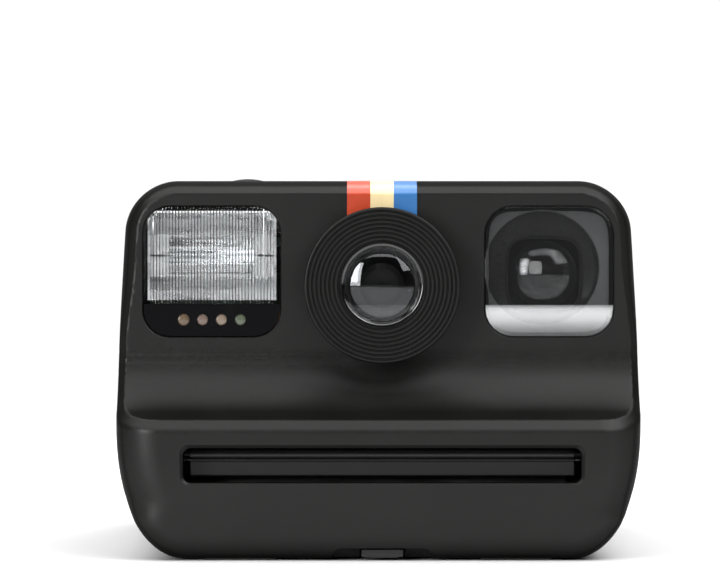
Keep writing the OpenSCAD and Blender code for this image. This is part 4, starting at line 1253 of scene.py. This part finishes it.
def eyepiece():
    """Soft bezel with a framed opening, and the domed eye lens behind it."""
    low, high = box_mm("eyepiece_bezel")
    cz = (low[2] + high[2]) / 2
    near, far = low[1], high[1]
    stations = (
        (near, 13.2, 9.2, 9),
        (far - 0.5, 13.3, 9.3, 9),
        (far - 0.12, 13.0, 9.0, 9),
        (far, 12.4, 8.4, 9),
        (far, 11.6, 7.6, 8),
        (far - 0.2, 11.2, 7.2, 8),
        (far - 1.0, 9.6, 6.4, 7),
        (near, 9.0, 6.1, 7),
    )
    bezel = hoop("eyepiece_frame", [squircle(EYE_X, cz, *station) for station in stations])
    dress(bezel, "gloss_black", "eyepiece_bezel", look="rubber", angle=32)
    low, high = box_mm("eyepiece_lens")
    rings = [squircle(EYE_X, cz, low[1], 9.9, 6.9, 6)]
    for k in np.linspace(0, 1, 9):
        scale = math.cos(math.radians(88) * k)
        y = high[1] - 0.6 * (1 - math.sin(math.radians(90) * k))
        rings.append(squircle(EYE_X, cz, y, 9.9 * scale + 0.02, 6.9 * scale + 0.02, 6))
    lens = loft("eye_lens_glass", rings)
    dress(lens, "lens_glass", "eyepiece_lens", look="ocular", angle=40)


# --- Stage, camera and lights, in metres ---

CAMERA_AT = (-0.00295, -0.662, 0.044)
FOCAL_LENGTH = 192.4
FLOOR_NEAR = -7.5
FLOOR_HALF = 2.2
SWEEP_Y = 0.9
SWEEP_R = 0.5
BACKDROP_H = 2.2


def add_camera():
    """A long lens level with the front, as in the photograph."""
    cam = bpy.data.cameras.new("view")
    cam.lens = FOCAL_LENGTH
    cam.sensor_width = 36
    obj = bpy.data.objects.new("view", cam)
    obj.location = CAMERA_AT
    obj.rotation_euler = (math.pi / 2, 0, 0)
    bpy.context.scene.collection.objects.link(obj)
    bpy.context.scene.camera = obj


def paper(name, white):
    mat, tree, bsdf = new_material(name)
    vary_roughness(tree, bsdf, noise(tree, object_coords(tree), 800, 2.0), 0.84, 0.88)
    put(bsdf, Base_Color=(white, white, white, 1), Specular_IOR_Level=0.05)
    return mat


def add_stage():
    """A pale floor that sweeps up into a backdrop."""
    # The sweep's first point is given twice, so that the floor's shading stays flat.
    profile = [(FLOOR_NEAR, 0.0), (SWEEP_Y, 0.0)]
    for a in np.linspace(0, math.pi / 2, 16):
        profile.append((SWEEP_Y + SWEEP_R * math.sin(a), SWEEP_R - SWEEP_R * math.cos(a)))
    profile.append((SWEEP_Y + SWEEP_R, BACKDROP_H))
    verts, faces = [], []
    for y, z in profile:
        verts += [(-FLOOR_HALF / MM, y / MM, z / MM), (FLOOR_HALF / MM, y / MM, z / MM)]
    for i in range(len(profile) - 1):
        faces.append((2 * i, 2 * i + 1, 2 * i + 3, 2 * i + 2))
    sweep = to_mesh("sweep", verts, faces)
    sweep.data.shade_smooth()
    sweep.data.materials.append(paper("paper", 0.62))


def add_light(name, at, target, size, power, spread=180):
    data = bpy.data.lights.new(name, "AREA")
    data.shape = "RECTANGLE"
    data.size, data.size_y = size
    data.energy = power
    data.spread = math.radians(spread)
    obj = bpy.data.objects.new(name, data)
    obj.location = at
    obj.rotation_euler = (Vector(target) - Vector(at)).to_track_quat("-Z", "Y").to_euler()
    bpy.context.scene.collection.objects.link(obj)


def add_lights():
    """Soft boxes above and at both sides, and lamps for the backdrop and far floor."""
    world = bpy.data.worlds.new("studio")
    world.use_nodes = True
    put(world.node_tree.nodes["Background"], Color=(1, 1, 1, 1), Strength=0.025)
    bpy.context.scene.world = world
    bpy.context.scene.view_settings.view_transform = "Standard"
    aim = (0, 0, 0.03)
    add_light("top", (0, 0.06, 0.8), (0, 0.08, 0), (1.5, 0.8), 13)
    add_light("left", (-0.7, -0.8, 0.34), aim, (0.38, 0.64), 7)
    add_light("strip", (-0.68, -0.79, 0.36), aim, (0.2, 0.5), 3.2)
    add_light("key", (0.56, -0.44, 0.68), aim, (0.7, 0.75), 7)
    add_light("backdrop", (0, 0.45, 1.3), (0, 1.4, 0.3), (2.6, 0.5), 24)
    add_light("far_floor", (0, -5.2, 1.6), (0, -5.2, 0), (3, 3.4), 72, 110)
    add_light("front", (0, -0.72, 0.92), aim, (1.0, 0.35), 3)


PIECES = (
    hinge_lugs, accent_stripe, lens_ring, lens_rim, front_lens, flash_window,
    flash_reflector, flash_holders, flash_tube, sensor_ports, finder_cup, finder_lens,
    finder_tunnel, field_stop, exit_flap, exit_flap_pin, buttons, film_door, eyepiece,
)


def main():
    add_camera()
    add_stage()
    add_lights()
    dress_frame()
    outer = outer_solid()
    inner = inner_solid()
    flatten(outer)
    flatten(inner)
    front_cover(outer, inner)
    body_shell(outer, inner)
    bpy.data.objects.remove(outer)
    bpy.data.objects.remove(inner)
    for make in PIECES:
        make()


main()
